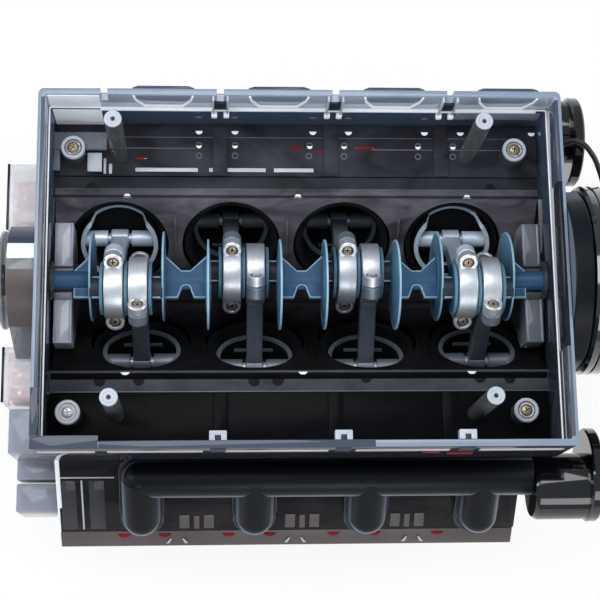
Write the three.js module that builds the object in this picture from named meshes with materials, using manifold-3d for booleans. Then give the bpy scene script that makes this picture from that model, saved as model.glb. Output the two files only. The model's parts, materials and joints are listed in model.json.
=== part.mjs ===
// A classroom model of an eight-cylinder vee engine, lying on its two rocker covers with the sump off,
// so that the crankshaft, the rods and the pistons show in the open crankcase.
// Millimetres. X runs along the crankshaft, Z points up out of the open crankcase.
import * as THREE from "three";
import { mergeVertices } from "three/addons/utils/BufferGeometryUtils.js";
import Module from "manifold-3d";

// Driving dimensions of the engine
const boreSpacing = 40;
const cylindersPerBank = 4;
const bankAngle = Math.PI / 4;
const bankStagger = 8.2;
const crankThrow = 7.9;
const rodLength = 36;
const crankRestAngle = THREE.MathUtils.degToRad(34.5);
const endReach = ((cylindersPerBank - 1) * boreSpacing) / 2;
const seatGap = 0.3;
const runningGap = 0.3;
const overrun = 2;

// Pistons and wrist pins
const pistonRadius = 13.8;
const pistonWall = 1.3;
const crownHeight = 8;
const crownThickness = 3.4;
const bossReach = 5;
const thrustEdge = -1;
const thrustCutBottomShare = 0.565;
const thrustCutTopShare = 0.9;
const wristPinRadius = 1.9;
const wristPinHalfLength = 12.2;
const pinTubeRadius = 2.95;
const pinTubeGap = 0.4;

// Connecting rods and caps
const smallEndRadius = 3.4;
const smallEndHalfWidth = 3.8;
const shankHalfThickness = 2.85;
const shankSmallHalfDepth = 2.3;
const shankLargeHalfDepth = 3.6;
const bigEndHalfWidth = 3.2;
const bigEndRadius = 10.4;
const boltReach = 11.6;
const boltBossRadius = 3.25;
const rodBossDepth = 4.6;
const capBossHeight = 3.6;
const bigEndPlay = 1.3;
const bigEndLead = 0.9;

// Crankshaft
const shaftRadius = 3.3;
const crankPinRadius = 4;
const journalRadius = 5.9;
const collarRadius = 9;
const collarHalfThickness = 0.5;
const outerCollarOffset = 8.2;
const webOffset = 12.3;
const webHalfThickness = 0.75;
const webRadius = 15.6;
const webShift = 2.4;
const gussetHalfThickness = 1.3;
const gussetRise = 8.6;
const gussetDrop = 6.4;
const gussetNotchRise = 3.2;
const gussetNotchHalfWidth = 1.7;
const gussetSlopeRun = 5.6;
const gussetFootRun = 5;

// Crankcase skirt
const skirtLeftMargin = 29.5;
const skirtLeft = -endReach - skirtLeftMargin;
const skirtRightMargin = 28.8;
const skirtRight = endReach + skirtRightMargin;
const skirtHalfWidth = 61.2;
const skirtWall = 2.4;
const skirtLedge = 0.8;
const skirtLedgeHeight = 12;
const rimHeight = 24;
const floorTop = -3;
const floorThickness = 2;
const railInner = 31;
const railOuter = 38.4;
const notchInset = 22;
const notchTail = 38.1;
const notchHalfWidth = 1.2;
const notchDepth = 5.5;
const padHalfLength = 10.5;
const padProud = 1;
const padHeight = 6;
const clipHalfWidth = 3.2;
const clipHeight = 15;
const clipProud = 2.6;
const tabHalfWidth = 3;
const tabProud = 2.2;
const tabHeight = 4;
const cornerPostMargin = 17.6;
const cornerPostX = endReach + cornerPostMargin;
const cornerPostShift = -1.7;
const cornerPostY = 46.5;
const cornerPostTop = 5.3;
const cornerPostRadius = 4.2;
const tallPostMargin = 1.7;
const tallPostX = endReach + tallPostMargin;
const tallPostShift = -1.9;
const tallPostY = 46.3;
const tallPostTop = 35.4;
const tallPostFoot = -11.4;
const tallPostRadius = 2.9;
const postBoreRadius = 1.1;
const postBoreDepth = 6;
const channelRibHalfThickness = 0.9;
const channelRibHeight = 5;

// Cylinder block, in distances along a bore and across it
const mouthFace = 24.6;
const deckFace = 55;
const blockPlate = 2;
const bankHalfWidth = 20;
const mouthHoleRadius = 17.6;
const camBearingWidth = 3;
const camBearingFoot = -51.5;
const camHeight = -44;

// Liners
const linerMouth = 27;
const linerRadius = 17.2;
const linerBore = 14.2;
const linerFlange = 1.5;

// Heads, rocker covers and rocker rows
const headLeftMargin = 26;
const headLeft = -endReach - headLeftMargin;
const headRightMargin = 19.5;
const headRight = endReach + headRightMargin;
const headHeight = 33;
const headWall = 2;
const headFloor = 3;
const exhaustSide = 26.5;
const intakeSide = 20;
const portFlangeRadius = 7.6;
const portFlangeThickness = 2.5;
const portBoreRadius = 4.6;
const coverHeight = 9.7;
const coverExhaustSide = 22.3;
const coverCorner = 5;
const coverLand = 4;
const rockerShaftRadius = 2;
const rockerSpacing = 13.4;
const rockerHalfWidth = 2.2;
const rockerHalfLength = 8;
const rockerHalfDepth = 2;
const rockerDepth = 83;

// Exhaust manifolds and outlets
const logRadius = 6.5;
const logDepth = 60.5;
const logClearance = 0.5;
const stubRadius = 6.6;
const seamMargin = 1.9;
const seamX = headRight + seamMargin;
const outletRadius = 11.7;
const outletLength = 24;
const outletEnd = seamX + outletLength;
const outletDrop = 3.2;
const outletBoreRadius = 8.6;
const outletBoreDepth = 3;
const outletFlangeRadius = 16.5;
const outletFlangeThickness = 4;
const outletFlangeShift = 4;
const outletFlangeSetback = 4.8;
const outletFlangeStart = outletEnd - outletFlangeSetback;

// Ends of the engine: bearings, pedestals, timing gears, pulley, flywheel and motor
const pedestalThickness = 6.8;
const pedestalHalfWidth = 21.6;
const pedestalTop = 3;
const pedestalSlotHalfWidth = 5.6;
const bushRadius = 5.4;
const bushFlangeRadius = 6.6;
const bushFlange = 1.2;
const shaftLeftReach = 15;
const shaftLeft = skirtLeft - shaftLeftReach;
const shaftRightReach = 14.2;
const shaftRight = skirtRight + shaftRightReach;
const gearSetoff = 7.3;
const gearStart = skirtLeft - gearSetoff;
const gearWidth = 4;
const crankGearTeeth = 16;
const camGearTeeth = 32;
const toothThicknessShare = 0.36;
const toothTipShare = 0.2;
const addendumShare = 0.75;
const dedendumShare = 1.15;
const gearHubRadius = 5.4;
const pulleyReach = 20;
const pulleyStart = skirtLeft - pulleyReach;
const pulleyWidth = 8.5;
const pulleyRadius = 17;
const pulleyGrooveDepth = 2.6;
const pulleyRim = 1.4;
const pulleyDish = 2;
const pulleyDishRadius = 11;
const timingCoverReach = 9.9;
const timingCoverStart = skirtLeft - timingCoverReach;
const timingCoverBack = skirtLeft - seatGap;
const timingCoverWall = 1.8;
const timingCoverTopRadius = 18.5;
const timingCoverLowRadius = 33.6;
const timingBoxNear = 24;
const timingBoxFar = 47;
const timingBoxTop = -14;
const timingBoxFoot = -34;
const timingBoxReach = 14.5;
const timingBoxStart = skirtLeft - timingBoxReach;
const flywheelSetoff = 7.2;
const flywheelStart = skirtRight + flywheelSetoff;
const flywheelWidth = 8;
const flywheelRadius = 33;
const flywheelRecessRadius = 26;
const flywheelRecess = 2;
const adaptorStart = skirtRight + seatGap;
const adaptorRadius = 31;
const adaptorWall = 3;
const adaptorHubRadius = 8;
const motorGap = 1.2;
const motorStart = flywheelStart + flywheelWidth + motorGap;
const motorLength = 12.8;
const motorEnd = motorStart + motorLength;
const motorRadius = 24;
const motorFoot = 10;
const motorStrapHalfWidth = 9;
const motorStrapThickness = 3;

// The lead between the end wall and the motor: its points are measured from the end wall
const leadRadius = 1;
const leadSteps = 16;
const leadRoute = [
  [2.7, 41.8, -6],
  [2.9, 44.6, -5.6],
  [4.2, 48.2, -3.4],
  [7.4, 51, -0.4],
  [11.6, 50.6, 1.4],
  [15.8, 46.8, 0.6],
  [19.2, 41, -2.4],
  [21.6, 34.4, -6.2],
  [22.6, 28.6, -9],
  [22.8, 24.2, -10.4],
];
const connectorLength = 5;
const connectorNear = 33.5;
const connectorHalfHeight = 3.5;

// Camshaft and intake
const camShaftRadius = 3.4;
const camLobeRadius = 4.6;
const camLobeLift = 1.5;
const camLobeHalfWidth = 1.8;
const camShaftSetback = 4.8;
const camShaftEnd = skirtRight - camShaftSetback;
const intakeTopHalfWidth = 20;
const intakeLowHalfWidth = 36;
const intakeTop = -60;
const intakeLow = -79;
const runnerDepth = 69;
const runnerRadius = 5.6;

// Faces on round parts
const roundSides = 16;
const mediumSides = 12;
const smallSides = 8;
const tinySides = 6;
const arcSteps = 4;

const wasm = await Module();
wasm.setup();
const weldDistance = 1e-4;

// Turns a closed geometry into a solid that can be cut and joined.
function solid(geometry) {
  const bare = new THREE.BufferGeometry();
  const loose = geometry.index ? geometry.toNonIndexed() : geometry;
  bare.setAttribute("position", loose.getAttribute("position"));
  const merged = mergeVertices(bare, weldDistance);
  const vertProperties = merged.attributes.position.array;
  const triVerts = new Uint32Array(merged.index.array);
  return new wasm.Manifold(new wasm.Mesh({ numProp: 3, vertProperties, triVerts }));
}

// Turns a solid back into a geometry.
function geometryOf(body) {
  const mesh = body.getMesh();
  const geometry = new THREE.BufferGeometry();
  geometry.setAttribute("position", new THREE.BufferAttribute(mesh.vertProperties, mesh.numProp));
  geometry.setIndex(new THREE.BufferAttribute(mesh.triVerts, 1));
  return geometry;
}

const join = (bodies) => bodies.reduce((whole, body) => whole.add(body));
const cut = (body, tools) => tools.reduce((rest, tool) => rest.subtract(tool), body);

// A box between two values on each axis.
function box(x0, x1, y0, y1, z0, z1) {
  const geometry = new THREE.BoxGeometry(Math.abs(x1 - x0), Math.abs(y1 - y0), Math.abs(z1 - z0));
  return solid(geometry.translate((x0 + x1) / 2, (y0 + y1) / 2, (z0 + z1) / 2));
}

// A round bar along X, Y or Z between two values, round a centre given by the other two axes.
function barX(radius, x0, x1, y = 0, z = 0, sides = roundSides) {
  const geometry = new THREE.CylinderGeometry(radius, radius, x1 - x0, sides);
  return solid(geometry.rotateZ(Math.PI / 2).translate((x0 + x1) / 2, y, z));
}
function uprightBar(radius, z0, z1, x, y, sides) {
  const geometry = new THREE.CylinderGeometry(radius, radius, z1 - z0, sides);
  return geometry.rotateX(Math.PI / 2).translate(x, y, (z0 + z1) / 2);
}
const barZ = (radius, z0, z1, x = 0, y = 0, sides = roundSides) => solid(uprightBar(radius, z0, z1, x, y, sides));

// An outline in the Y-Z plane, given as points, drawn out along X.
const sideways = new THREE.Matrix4().makeBasis(
  new THREE.Vector3(0, 1, 0),
  new THREE.Vector3(0, 0, 1),
  new THREE.Vector3(1, 0, 0),
);
function alongX(points, x0, x1) {
  const outline = new THREE.Shape(points.map(([y, z]) => new THREE.Vector2(y, z)));
  const geometry = new THREE.ExtrudeGeometry(outline, { depth: x1 - x0, bevelEnabled: false });
  return solid(geometry.applyMatrix4(sideways).translate(x0, 0, 0));
}

// An outline in the X-Z plane, given as points, drawn out along Y on both sides of the middle.
function alongY(points, halfDepth) {
  const outline = new THREE.Shape(points.map(([x, z]) => new THREE.Vector2(x, z)));
  const geometry = new THREE.ExtrudeGeometry(outline, { depth: 2 * halfDepth, bevelEnabled: false });
  return solid(geometry.rotateX(Math.PI / 2).translate(0, halfDepth, 0));
}

// A profile of radius and X, closed on itself or on the axis, turned round an axis along X.
function turned(profile, sides = roundSides, x = 0, y = 0, z = 0) {
  const points = profile.map(([radius, along]) => new THREE.Vector2(radius, along));
  return solid(new THREE.LatheGeometry(points, sides).rotateZ(-Math.PI / 2).translate(x, y, z));
}

// Points of an arc in a plane, from one angle to another.
function arc(radius, from, to, u = 0, v = 0, steps = arcSteps) {
  return Array.from({ length: steps + 1 }, (_, i) => {
    const angle = from + ((to - from) * i) / steps;
    return [u + radius * Math.cos(angle), v + radius * Math.sin(angle)];
  });
}

// The place of a point on a bank: side is 1 at the back and -1 at the front,
// along is its distance from the crank axis along the bore, and across is outwards from the bore.
function bankPoint(side, along, across) {
  const y = side * (along * Math.sin(bankAngle) + across * Math.cos(bankAngle));
  return [y, across * Math.sin(bankAngle) - along * Math.cos(bankAngle)];
}

// A plate or box on a bank, between two distances along the bore and two across it.
function bankBox(side, x0, x1, along0, along1, across0, across1) {
  const corners = [
    bankPoint(side, along0, across0),
    bankPoint(side, along1, across0),
    bankPoint(side, along1, across1),
    bankPoint(side, along0, across1),
  ];
  return alongX(corners, x0, x1);
}

// A round bar along the bore of a bank: made upright, then turned into its bank.
function boreBar(side, radius, x, along0, along1, across = 0, sides = roundSides) {
  return solid(uprightBar(radius, -along1, -along0, x, side * across, sides).rotateX(side * bankAngle));
}

const banks = [
  { side: 1, label: "rear" },
  { side: -1, label: "front" },
];
const pairs = Array.from({ length: cylindersPerBank }, (_, i) => i);
const pairCentre = (i) => (i - (cylindersPerBank - 1) / 2) * boreSpacing;
const cylinderX = (i, side) => pairCentre(i) - (side * bankStagger) / 2;
// The outer crank pins stand on one side of the crank and the inner two on the other.
const pinSign = (i) => (i === 0 || i === cylindersPerBank - 1 ? 1 : -1);

const finish = (color, roughness, metalness) =>
  new THREE.MeshStandardMaterial({ color, roughness, metalness });
const clearSmoke = finish(0x8a929b, 0.15, 0);
clearSmoke.transparent = true;
clearSmoke.opacity = 0.35;
const slateBlue = finish(0x4a6b85, 0.4, 0.1);
const brightSilver = finish(0xb9c0c6, 0.35, 0.8);
const rodGrey = finish(0x5a5f66, 0.4, 0.7);
const glossBlack = finish(0x0c0d10, 0.12, 0);
const linerBlack = finish(0x08080a, 0.4, 0);
const smokeGrey = finish(0x6b7078, 0.25, 0);
const signalRed = finish(0xb01820, 0.3, 0);

const engine = new THREE.Group();

// Puts a solid in the engine as a named piece.
function piece(name, body, material, parent = engine) {
  const mesh = new THREE.Mesh(geometryOf(body), material);
  mesh.name = name;
  parent.add(mesh);
  return mesh;
}

// Where the two ends of a rod are at rest, as [y, z], and how far down the bore its wrist pin is.
function rodPose(i, side) {
  const reach = (crankThrow - bigEndLead) * pinSign(i);
  const big = [-reach * Math.sin(crankRestAngle), reach * Math.cos(crankRestAngle)];
  const [downY, downZ] = bankPoint(side, 1, 0);
  const along = big[0] * downY + big[1] * downZ;
  const across = Math.hypot(big[0], big[1]) ** 2 - along ** 2;
  const pinAlong = along + Math.sqrt(rodLength ** 2 - across);
  const small = [pinAlong * downY, pinAlong * downZ];
  return { big, small, tilt: Math.atan2(small[0] - big[0], big[1] - small[1]) };
}

// A piston: a thin-walled cup, open to the crank, low at its two thrust sides and high at its pin bosses.
function pistonSolid() {
  const inner = pistonRadius - pistonWall;
  const cup = cut(barZ(pistonRadius, -crownHeight, bossReach, 0, 0, mediumSides), [
    barZ(inner, crownThickness - crownHeight, bossReach + overrun, 0, 0, mediumSides),
  ]);
  const low = pistonRadius * thrustCutBottomShare;
  const high = pistonRadius * thrustCutTopShare;
  const rise = (high - low) / (bossReach - thrustEdge);
  const top = bossReach + overrun;
  const wide = high + rise * overrun;
  const mouth = [[-low, thrustEdge], [low, thrustEdge], [wide, top], [-wide, top]];
  const tubeStart = smallEndHalfWidth + pinTubeGap;
  const tubeEnd = inner + pistonWall / 2;
  const tubes = [[tubeStart, tubeEnd], [-tubeEnd, -tubeStart]].map(([x0, x1]) => barX(pinTubeRadius, x0, x1, 0, 0, smallSides));
  const bore = barX(wristPinRadius + seatGap, -pistonRadius, pistonRadius, 0, 0, smallSides);
  return cut(join([cut(cup, [alongY(mouth, pistonRadius + overrun)]), ...tubes]), [bore]);
}

function wristPinSolid() {
  return barX(wristPinRadius, -wristPinHalfLength, wristPinHalfLength, 0, 0, smallSides);
}

const bigEndBore = () => barX(journalRadius + bigEndPlay, -overrun - bigEndHalfWidth, bigEndHalfWidth + overrun,
  0, rodLength, mediumSides);
const boltX = [-1, 1].map((end) => end * boltReach);

// A rod, from its wrist pin at the origin up to the split through its big end.
function rodSolid() {
  const split = rodLength - seatGap / 2;
  const shank = [
    [-shankSmallHalfDepth, 0],
    [shankSmallHalfDepth, 0],
    [shankLargeHalfDepth, rodLength - bigEndRadius + overrun],
    [-shankLargeHalfDepth, rodLength - bigEndRadius + overrun],
  ];
  const half = arc(bigEndRadius, -Math.PI, 0, 0, split, 2 * arcSteps);
  const body = join([
    barX(smallEndRadius, -smallEndHalfWidth, smallEndHalfWidth, 0, 0, smallSides),
    alongX(shank, -shankHalfThickness, shankHalfThickness),
    alongX(half, -bigEndHalfWidth, bigEndHalfWidth),
    ...boltX.map((y) => barZ(boltBossRadius, split - rodBossDepth, split, 0, y, smallSides)),
  ]);
  const smallBore = barX(wristPinRadius + runningGap, -rodLength, rodLength, 0, 0, smallSides);
  return cut(body, [smallBore, bigEndBore()]);
}

// The cap that closes the big end, with a flat boss for each of its two screws.
function capSolid() {
  const split = rodLength + seatGap / 2;
  const half = arc(bigEndRadius, 0, Math.PI, 0, split, 2 * arcSteps);
  const body = join([
    alongX(half, -bigEndHalfWidth, bigEndHalfWidth),
    ...boltX.map((y) => barZ(boltBossRadius, split, split + capBossHeight, 0, y, smallSides)),
  ]);
  return cut(body, [bigEndBore()]);
}

function addPistonsAndRods() {
  const parts = [
    ["piston", pistonSolid(), brightSilver],
    ["wrist_pin", wristPinSolid(), brightSilver],
    ["connecting_rod", rodSolid(), rodGrey],
    ["rod_cap", capSolid(), brightSilver],
  ];
  for (const { side, label } of banks) {
    for (const i of pairs) {
      const { small, tilt } = rodPose(i, side);
      for (const [kind, body, material] of parts) {
        const mesh = piece(`${kind}_${label}_${i + 1}`, body, material);
        const onBore = kind === "piston" || kind === "wrist_pin";
        mesh.position.set(cylinderX(i, side), small[0], small[1]);
        mesh.rotation.x = onBore ? side * bankAngle : tilt;
      }
    }
  }
}

// One throw of the crankshaft: a pin with its journal and collars between two round webs.
function crankThrowSolid(i) {
  const x = pairCentre(i);
  const y = -pinSign(i) * Math.sin(crankRestAngle);
  const z = pinSign(i) * Math.cos(crankRestAngle);
  const [pinY, pinZ] = [y * crankThrow, z * crankThrow];
  const collars = [-outerCollarOffset, 0, outerCollarOffset].flatMap((offset) => [
    [journalRadius, offset - collarHalfThickness],
    [collarRadius, offset - collarHalfThickness],
    [collarRadius, offset + collarHalfThickness],
    [journalRadius, offset + collarHalfThickness],
  ]);
  const outer = outerCollarOffset + collarHalfThickness;
  const profile = [
    [0, -webOffset],
    [crankPinRadius, -webOffset],
    [crankPinRadius, -outer],
    ...collars.slice(1, -1),
    [crankPinRadius, outer],
    [crankPinRadius, webOffset],
    [0, webOffset],
  ];
  const webs = [-webOffset, webOffset].map((offset) =>
    barX(webRadius, x + offset - webHalfThickness, x + offset + webHalfThickness, -y * webShift, -z * webShift));
  return join([turned(profile, mediumSides, x, pinY, pinZ), ...webs]);
}

// The flat gusset that stiffens the shaft between two webs, notched in the middle of its lower edge.
function gussetSolid(x0, x1) {
  const middle = (x0 + x1) / 2;
  const slopeLeft = x0 + gussetSlopeRun;
  const slopeRight = x1 - gussetSlopeRun;
  const points = [
    [x0, gussetRise],
    [slopeLeft, shaftRadius],
    [slopeRight, shaftRadius],
    [x1, gussetRise],
    [x1, -gussetDrop],
    [middle + gussetNotchHalfWidth, -gussetDrop],
    [middle + gussetNotchHalfWidth, -gussetNotchRise],
    [middle - gussetNotchHalfWidth, -gussetNotchRise],
    [middle - gussetNotchHalfWidth, -gussetDrop],
    [x0, -gussetDrop],
  ];
  return flatPlate(points);
}

// The half gusset outside an end web, on the side given by end.
function endGussetSolid(x, end) {
  const points = [
    [x, gussetRise],
    [x + end * gussetSlopeRun, shaftRadius],
    [x + end * gussetSlopeRun, -shaftRadius],
    [x + end * gussetFootRun, -gussetDrop],
    [x, -gussetDrop],
  ];
  return flatPlate(points);
}

// A plate lying in the X-Y plane through the shaft.
function flatPlate(points) {
  const outline = new THREE.Shape(points.map(([x, y]) => new THREE.Vector2(x, y)));
  const depth = 2 * gussetHalfThickness;
  return solid(new THREE.ExtrudeGeometry(outline, { depth, bevelEnabled: false }).translate(0, 0, -depth / 2));
}

function crankshaftSolid() {
  const webFace = webOffset + webHalfThickness / 2;
  const gussets = pairs.slice(1).map((i) => gussetSolid(pairCentre(i - 1) + webFace, pairCentre(i) - webFace));
  const ends = [
    endGussetSolid(pairCentre(0) - webFace, -1),
    endGussetSolid(pairCentre(cylindersPerBank - 1) + webFace, 1),
  ];
  const spans = [
    [shaftLeft, pairCentre(0) - webOffset],
    ...pairs.slice(1).map((i) => [pairCentre(i - 1) + webOffset, pairCentre(i) - webOffset]),
    [pairCentre(cylindersPerBank - 1) + webOffset, shaftRight],
  ];
  const shafts = spans.map(([x0, x1]) => barX(shaftRadius, x0, x1, 0, 0, smallSides));
  return join([...pairs.map(crankThrowSolid), ...shafts, ...gussets, ...ends]);
}

// A gear outline: plain tapered teeth round a root circle.
function gearPoints(teeth, module, phase, y, z) {
  const pitch = (teeth * module) / 2;
  const tip = pitch + addendumShare * module;
  const root = pitch - dedendumShare * module;
  const step = (2 * Math.PI) / teeth;
  const baseHalf = (step * toothThicknessShare) / 2 + (step * (toothThicknessShare - toothTipShare)) / 2;
  const tipHalf = (step * toothTipShare) / 2;
  const points = [];
  for (let tooth = 0; tooth < teeth; tooth += 1) {
    const middle = phase + tooth * step;
    for (const [radius, angle] of [[root, -baseHalf], [tip, -tipHalf], [tip, tipHalf], [root, baseHalf]]) {
      points.push([y + radius * Math.cos(middle + angle), z + radius * Math.sin(middle + angle)]);
    }
  }
  return points;
}

const gearModule = (2 * Math.abs(camHeight)) / (crankGearTeeth + camGearTeeth);

// The belt pulley with the small timing gear moulded on its hub, bored for the shaft.
function pulleySolid() {
  const end = pulleyStart + pulleyWidth;
  const grooveFloor = pulleyRadius - pulleyGrooveDepth;
  const profile = [
    [0, pulleyStart + pulleyDish],
    [pulleyDishRadius, pulleyStart + pulleyDish],
    [pulleyDishRadius + pulleyDish, pulleyStart],
    [pulleyRadius, pulleyStart],
    [pulleyRadius, pulleyStart + pulleyRim],
    [grooveFloor, pulleyStart + 2 * pulleyRim],
    [grooveFloor, end - 2 * pulleyRim],
    [pulleyRadius, end - pulleyRim],
    [pulleyRadius, end],
    [gearHubRadius, end],
    [gearHubRadius, gearStart + gearWidth],
    [0, gearStart + gearWidth],
  ];
  // A tooth of the small gear points straight down at the large one.
  const teeth = alongX(gearPoints(crankGearTeeth, gearModule, -Math.PI / 2, 0, 0), gearStart, gearStart + gearWidth);
  const bore = barX(shaftRadius + seatGap, shaftLeft - seatGap, gearStart + gearWidth + overrun, 0, 0, mediumSides);
  return cut(join([turned(profile), teeth]), [bore]);
}

// The camshaft with its timing gear: one egg-shaped lobe for each cylinder.
function camshaftSolid() {
  // A gap of the large gear faces straight up at the small one.
  const phase = Math.PI / 2 + Math.PI / camGearTeeth;
  const gear = alongX(gearPoints(camGearTeeth, gearModule, phase, 0, camHeight), gearStart, gearStart + gearWidth);
  const lobes = banks.flatMap(({ side }) => pairs.map((i) => {
    const x = cylinderX(i, side);
    const angle = (Math.PI / 2) * (i + (side + 1) / 4);
    const y = camLobeLift * Math.cos(angle);
    const z = camHeight + camLobeLift * Math.sin(angle);
    return barX(camLobeRadius, x - camLobeHalfWidth, x + camLobeHalfWidth, y, z, tinySides);
  }));
  const shaft = barX(camShaftRadius, gearStart, camShaftEnd, 0, camHeight, mediumSides);
  return join([shaft, gear, ...lobes]);
}

// The flywheel, dished on both faces and bored for the shaft.
function flywheelSolid() {
  const end = flywheelStart + flywheelWidth;
  const edge = flywheelRadius - overrun / 2;
  const profile = [
    [0, flywheelStart + flywheelRecess],
    [flywheelRecessRadius, flywheelStart + flywheelRecess],
    [flywheelRecessRadius, flywheelStart],
    [edge, flywheelStart],
    [flywheelRadius, flywheelStart + overrun / 2],
    [flywheelRadius, end - overrun / 2],
    [edge, end],
    [0, end],
  ];
  const bore = barX(shaftRadius + seatGap, flywheelStart, end + overrun, 0, 0, mediumSides);
  return cut(turned(profile), [bore]);
}

function addCrankTrain() {
  piece("crankshaft", crankshaftSolid(), slateBlue);
  piece("crank_pulley", pulleySolid(), smokeGrey);
  piece("flywheel", flywheelSolid(), glossBlack);
  piece("camshaft", camshaftSolid(), slateBlue);
}

const notchPitch = (skirtRight - skirtLeft - notchInset - notchTail) / (cylindersPerBank - 1);
const notchX = pairs.map((i) => skirtLeft + notchInset + i * notchPitch);
const wellLeft = skirtLeft + skirtWall + skirtLedge;
const wellRight = skirtRight - skirtWall - skirtLedge;
const floorUnder = floorTop - floorThickness;

// The walls of the crankcase: a deep rectangular frame with a thicker foot.
function skirtWalls() {
  const half = skirtHalfWidth;
  const inner = half - skirtWall;
  const low = inner - skirtLedge;
  const outer = box(skirtLeft, skirtRight, -half, half, floorUnder, rimHeight);
  const mouth = box(skirtLeft + skirtWall, skirtRight - skirtWall, -inner, inner, skirtLedgeHeight, rimHeight + overrun);
  const well = box(wellLeft, wellRight, -low, low, floorTop, skirtLedgeHeight + overrun);
  const open = box(wellLeft, wellRight, -railOuter - seatGap, railOuter + seatGap,
    floorUnder - overrun, floorTop + overrun);
  return cut(outer, [mouth, well, open]);
}

// What stands out on the back and front walls: grip pads, clip channels and tabs.
function rimPads() {
  const half = skirtHalfWidth;
  const pads = notchX.map((x) => {
    const middle = x + notchPitch / 2;
    return box(middle - padHalfLength, middle + padHalfLength, half - skirtWall / 2, half + padProud,
      rimHeight - padHeight, rimHeight);
  });
  const clips = notchX.slice(1).map((x) =>
    box(x - clipHalfWidth, x + clipHalfWidth, half - skirtWall - clipProud, half - skirtWall / 2,
      rimHeight - clipHeight, rimHeight - notchDepth));
  const tabs = notchX.slice(1).map((x) =>
    box(x - tabHalfWidth, x + tabHalfWidth, -half - tabProud / 2, skirtWall + tabProud - half,
      rimHeight - tabHeight, rimHeight));
  return [...pads, ...clips, ...tabs];
}

// The posts that the screws of the sump and the block go into.
function skirtPosts() {
  const corners = [];
  for (const sx of [-1, 1]) {
    for (const sy of [-1, 1]) {
      corners.push(
        barZ(cornerPostRadius, floorUnder, cornerPostTop, sx * cornerPostX + cornerPostShift,
          sy * cornerPostY, smallSides),
        barZ(tallPostRadius, tallPostFoot, tallPostTop, sx * tallPostX + tallPostShift, sy * tallPostY, smallSides),
      );
    }
  }
  return corners;
}

function postBores() {
  const bores = [];
  for (const sx of [-1, 1]) {
    for (const sy of [-1, 1]) {
      bores.push(barZ(postBoreRadius, tallPostTop - postBoreDepth, tallPostTop + overrun,
        sx * tallPostX + tallPostShift, sy * tallPostY, tinySides));
    }
  }
  return bores;
}

// The skirt: the clear wall round the open crankcase.
function skirtSolid() {
  const half = skirtHalfWidth;
  const ribs = banks.flatMap(({ side }) => notchX.slice(1).map((x) => {
    const [y0, y1] = [side * (railOuter + seatGap), side * (half - skirtWall)].sort((a, b) => a - b);
    return box(x - channelRibHalfThickness, x + channelRibHalfThickness, y0, y1,
      floorUnder, floorTop + channelRibHeight);
  }));
  const notches = notchX.map((x) =>
    box(x - notchHalfWidth, x + notchHalfWidth, half - skirtWall - overrun, half + overrun,
      rimHeight - notchDepth, rimHeight + overrun));
  const shaftHoles = barX(bushRadius + seatGap, skirtLeft - overrun, skirtRight + overrun, 0, 0, mediumSides);
  const body = join([skirtWalls(), ...rimPads(), ...ribs, ...skirtPosts()]);
  return cut(body, [...notches, ...postBores(), shaftHoles]);
}

// The block: two banks of plates set in a vee, bored for the liners, with cam bearings in the valley.
function blockSolid() {
  const x0 = skirtLeft;
  const x1 = skirtRight;
  const plate = blockPlate;
  const bodies = [];
  const hollows = [];
  for (const { side } of banks) {
    const outside = bankHalfWidth + plate;
    bodies.push(bankBox(side, x0, x1, mouthFace, deckFace, -outside, outside));
    bodies.push(alongX([
      bankPoint(side, mouthFace, 0),
      bankPoint(side, mouthFace, -mouthFace * Math.tan(bankAngle)),
      bankPoint(side, mouthFace + plate, -(mouthFace + plate) * Math.tan(bankAngle)),
      bankPoint(side, mouthFace + plate, 0),
    ], x0, x1));
    const [rail0, rail1] = [side * railInner, side * railOuter].sort((a, b) => a - b);
    bodies.push(box(x0, x1, rail0, rail1, floorUnder, floorTop));
    hollows.push(bankBox(side, x0 + plate, x1 - plate, mouthFace + plate, deckFace - plate,
      -bankHalfWidth, bankHalfWidth));
    for (const i of pairs) {
      const x = cylinderX(i, side);
      hollows.push(boreBar(side, mouthHoleRadius, x, mouthFace - overrun, deckFace + overrun));
    }
  }
  return cut(join([...bodies, ...camBearings()]), [...hollows, troughSpace(), camBore(), ...endSteps()]);
}

// The end walls of the skirt stand on a step at each end of the block.
function endSteps() {
  const half = skirtHalfWidth;
  const under = floorUnder - seatGap;
  return [
    box(skirtLeft - overrun, wellLeft + seatGap, -half, half, under, rimHeight),
    box(wellRight - seatGap, skirtRight + overrun, -half, half, under, rimHeight),
  ];
}

// Three webs across the valley carry the camshaft.
function camBearings() {
  const inside = -bankHalfWidth;
  const lowSide = -camBearingFoot / Math.cos(bankAngle) + inside;
  return [-1, 0, 1].map((place) => {
    const x = place * (camShaftEnd - camBearingWidth);
    const points = [
      [0, -mouthFace / Math.cos(bankAngle) - blockPlate],
      bankPoint(1, lowSide, inside),
      bankPoint(-1, lowSide, inside),
    ];
    return alongX(points, x - camBearingWidth / 2, x + camBearingWidth / 2);
  });
}

const camBore = () =>
  barX(camShaftRadius + runningGap, skirtLeft - overrun, camShaftEnd + overrun, 0, camHeight, mediumSides);

// The space over the two mouth faces, which nothing of the block may fill.
function troughSpace() {
  const apex = -mouthFace / Math.cos(bankAngle);
  const reach = bankHalfWidth + mouthFace;
  const top = apex + reach;
  return alongX([[0, apex], [reach, top], [-reach, top]], skirtLeft - overrun, skirtRight + overrun);
}

// Four black liners hanging from one flange that lies on the deck.
function linerSolid(side) {
  const flange0 = deckFace + seatGap;
  const flange1 = flange0 + linerFlange;
  const tubes = pairs.map((i) => boreBar(side, linerRadius, cylinderX(i, side), linerMouth, flange1));
  const bores = pairs.map((i) => boreBar(side, linerBore, cylinderX(i, side), linerMouth - overrun, flange1 + overrun));
  const flange = bankBox(side, headLeft, headRight, flange0, flange1, -bankHalfWidth, bankHalfWidth);
  return cut(join([flange, ...tubes]), bores);
}

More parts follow.
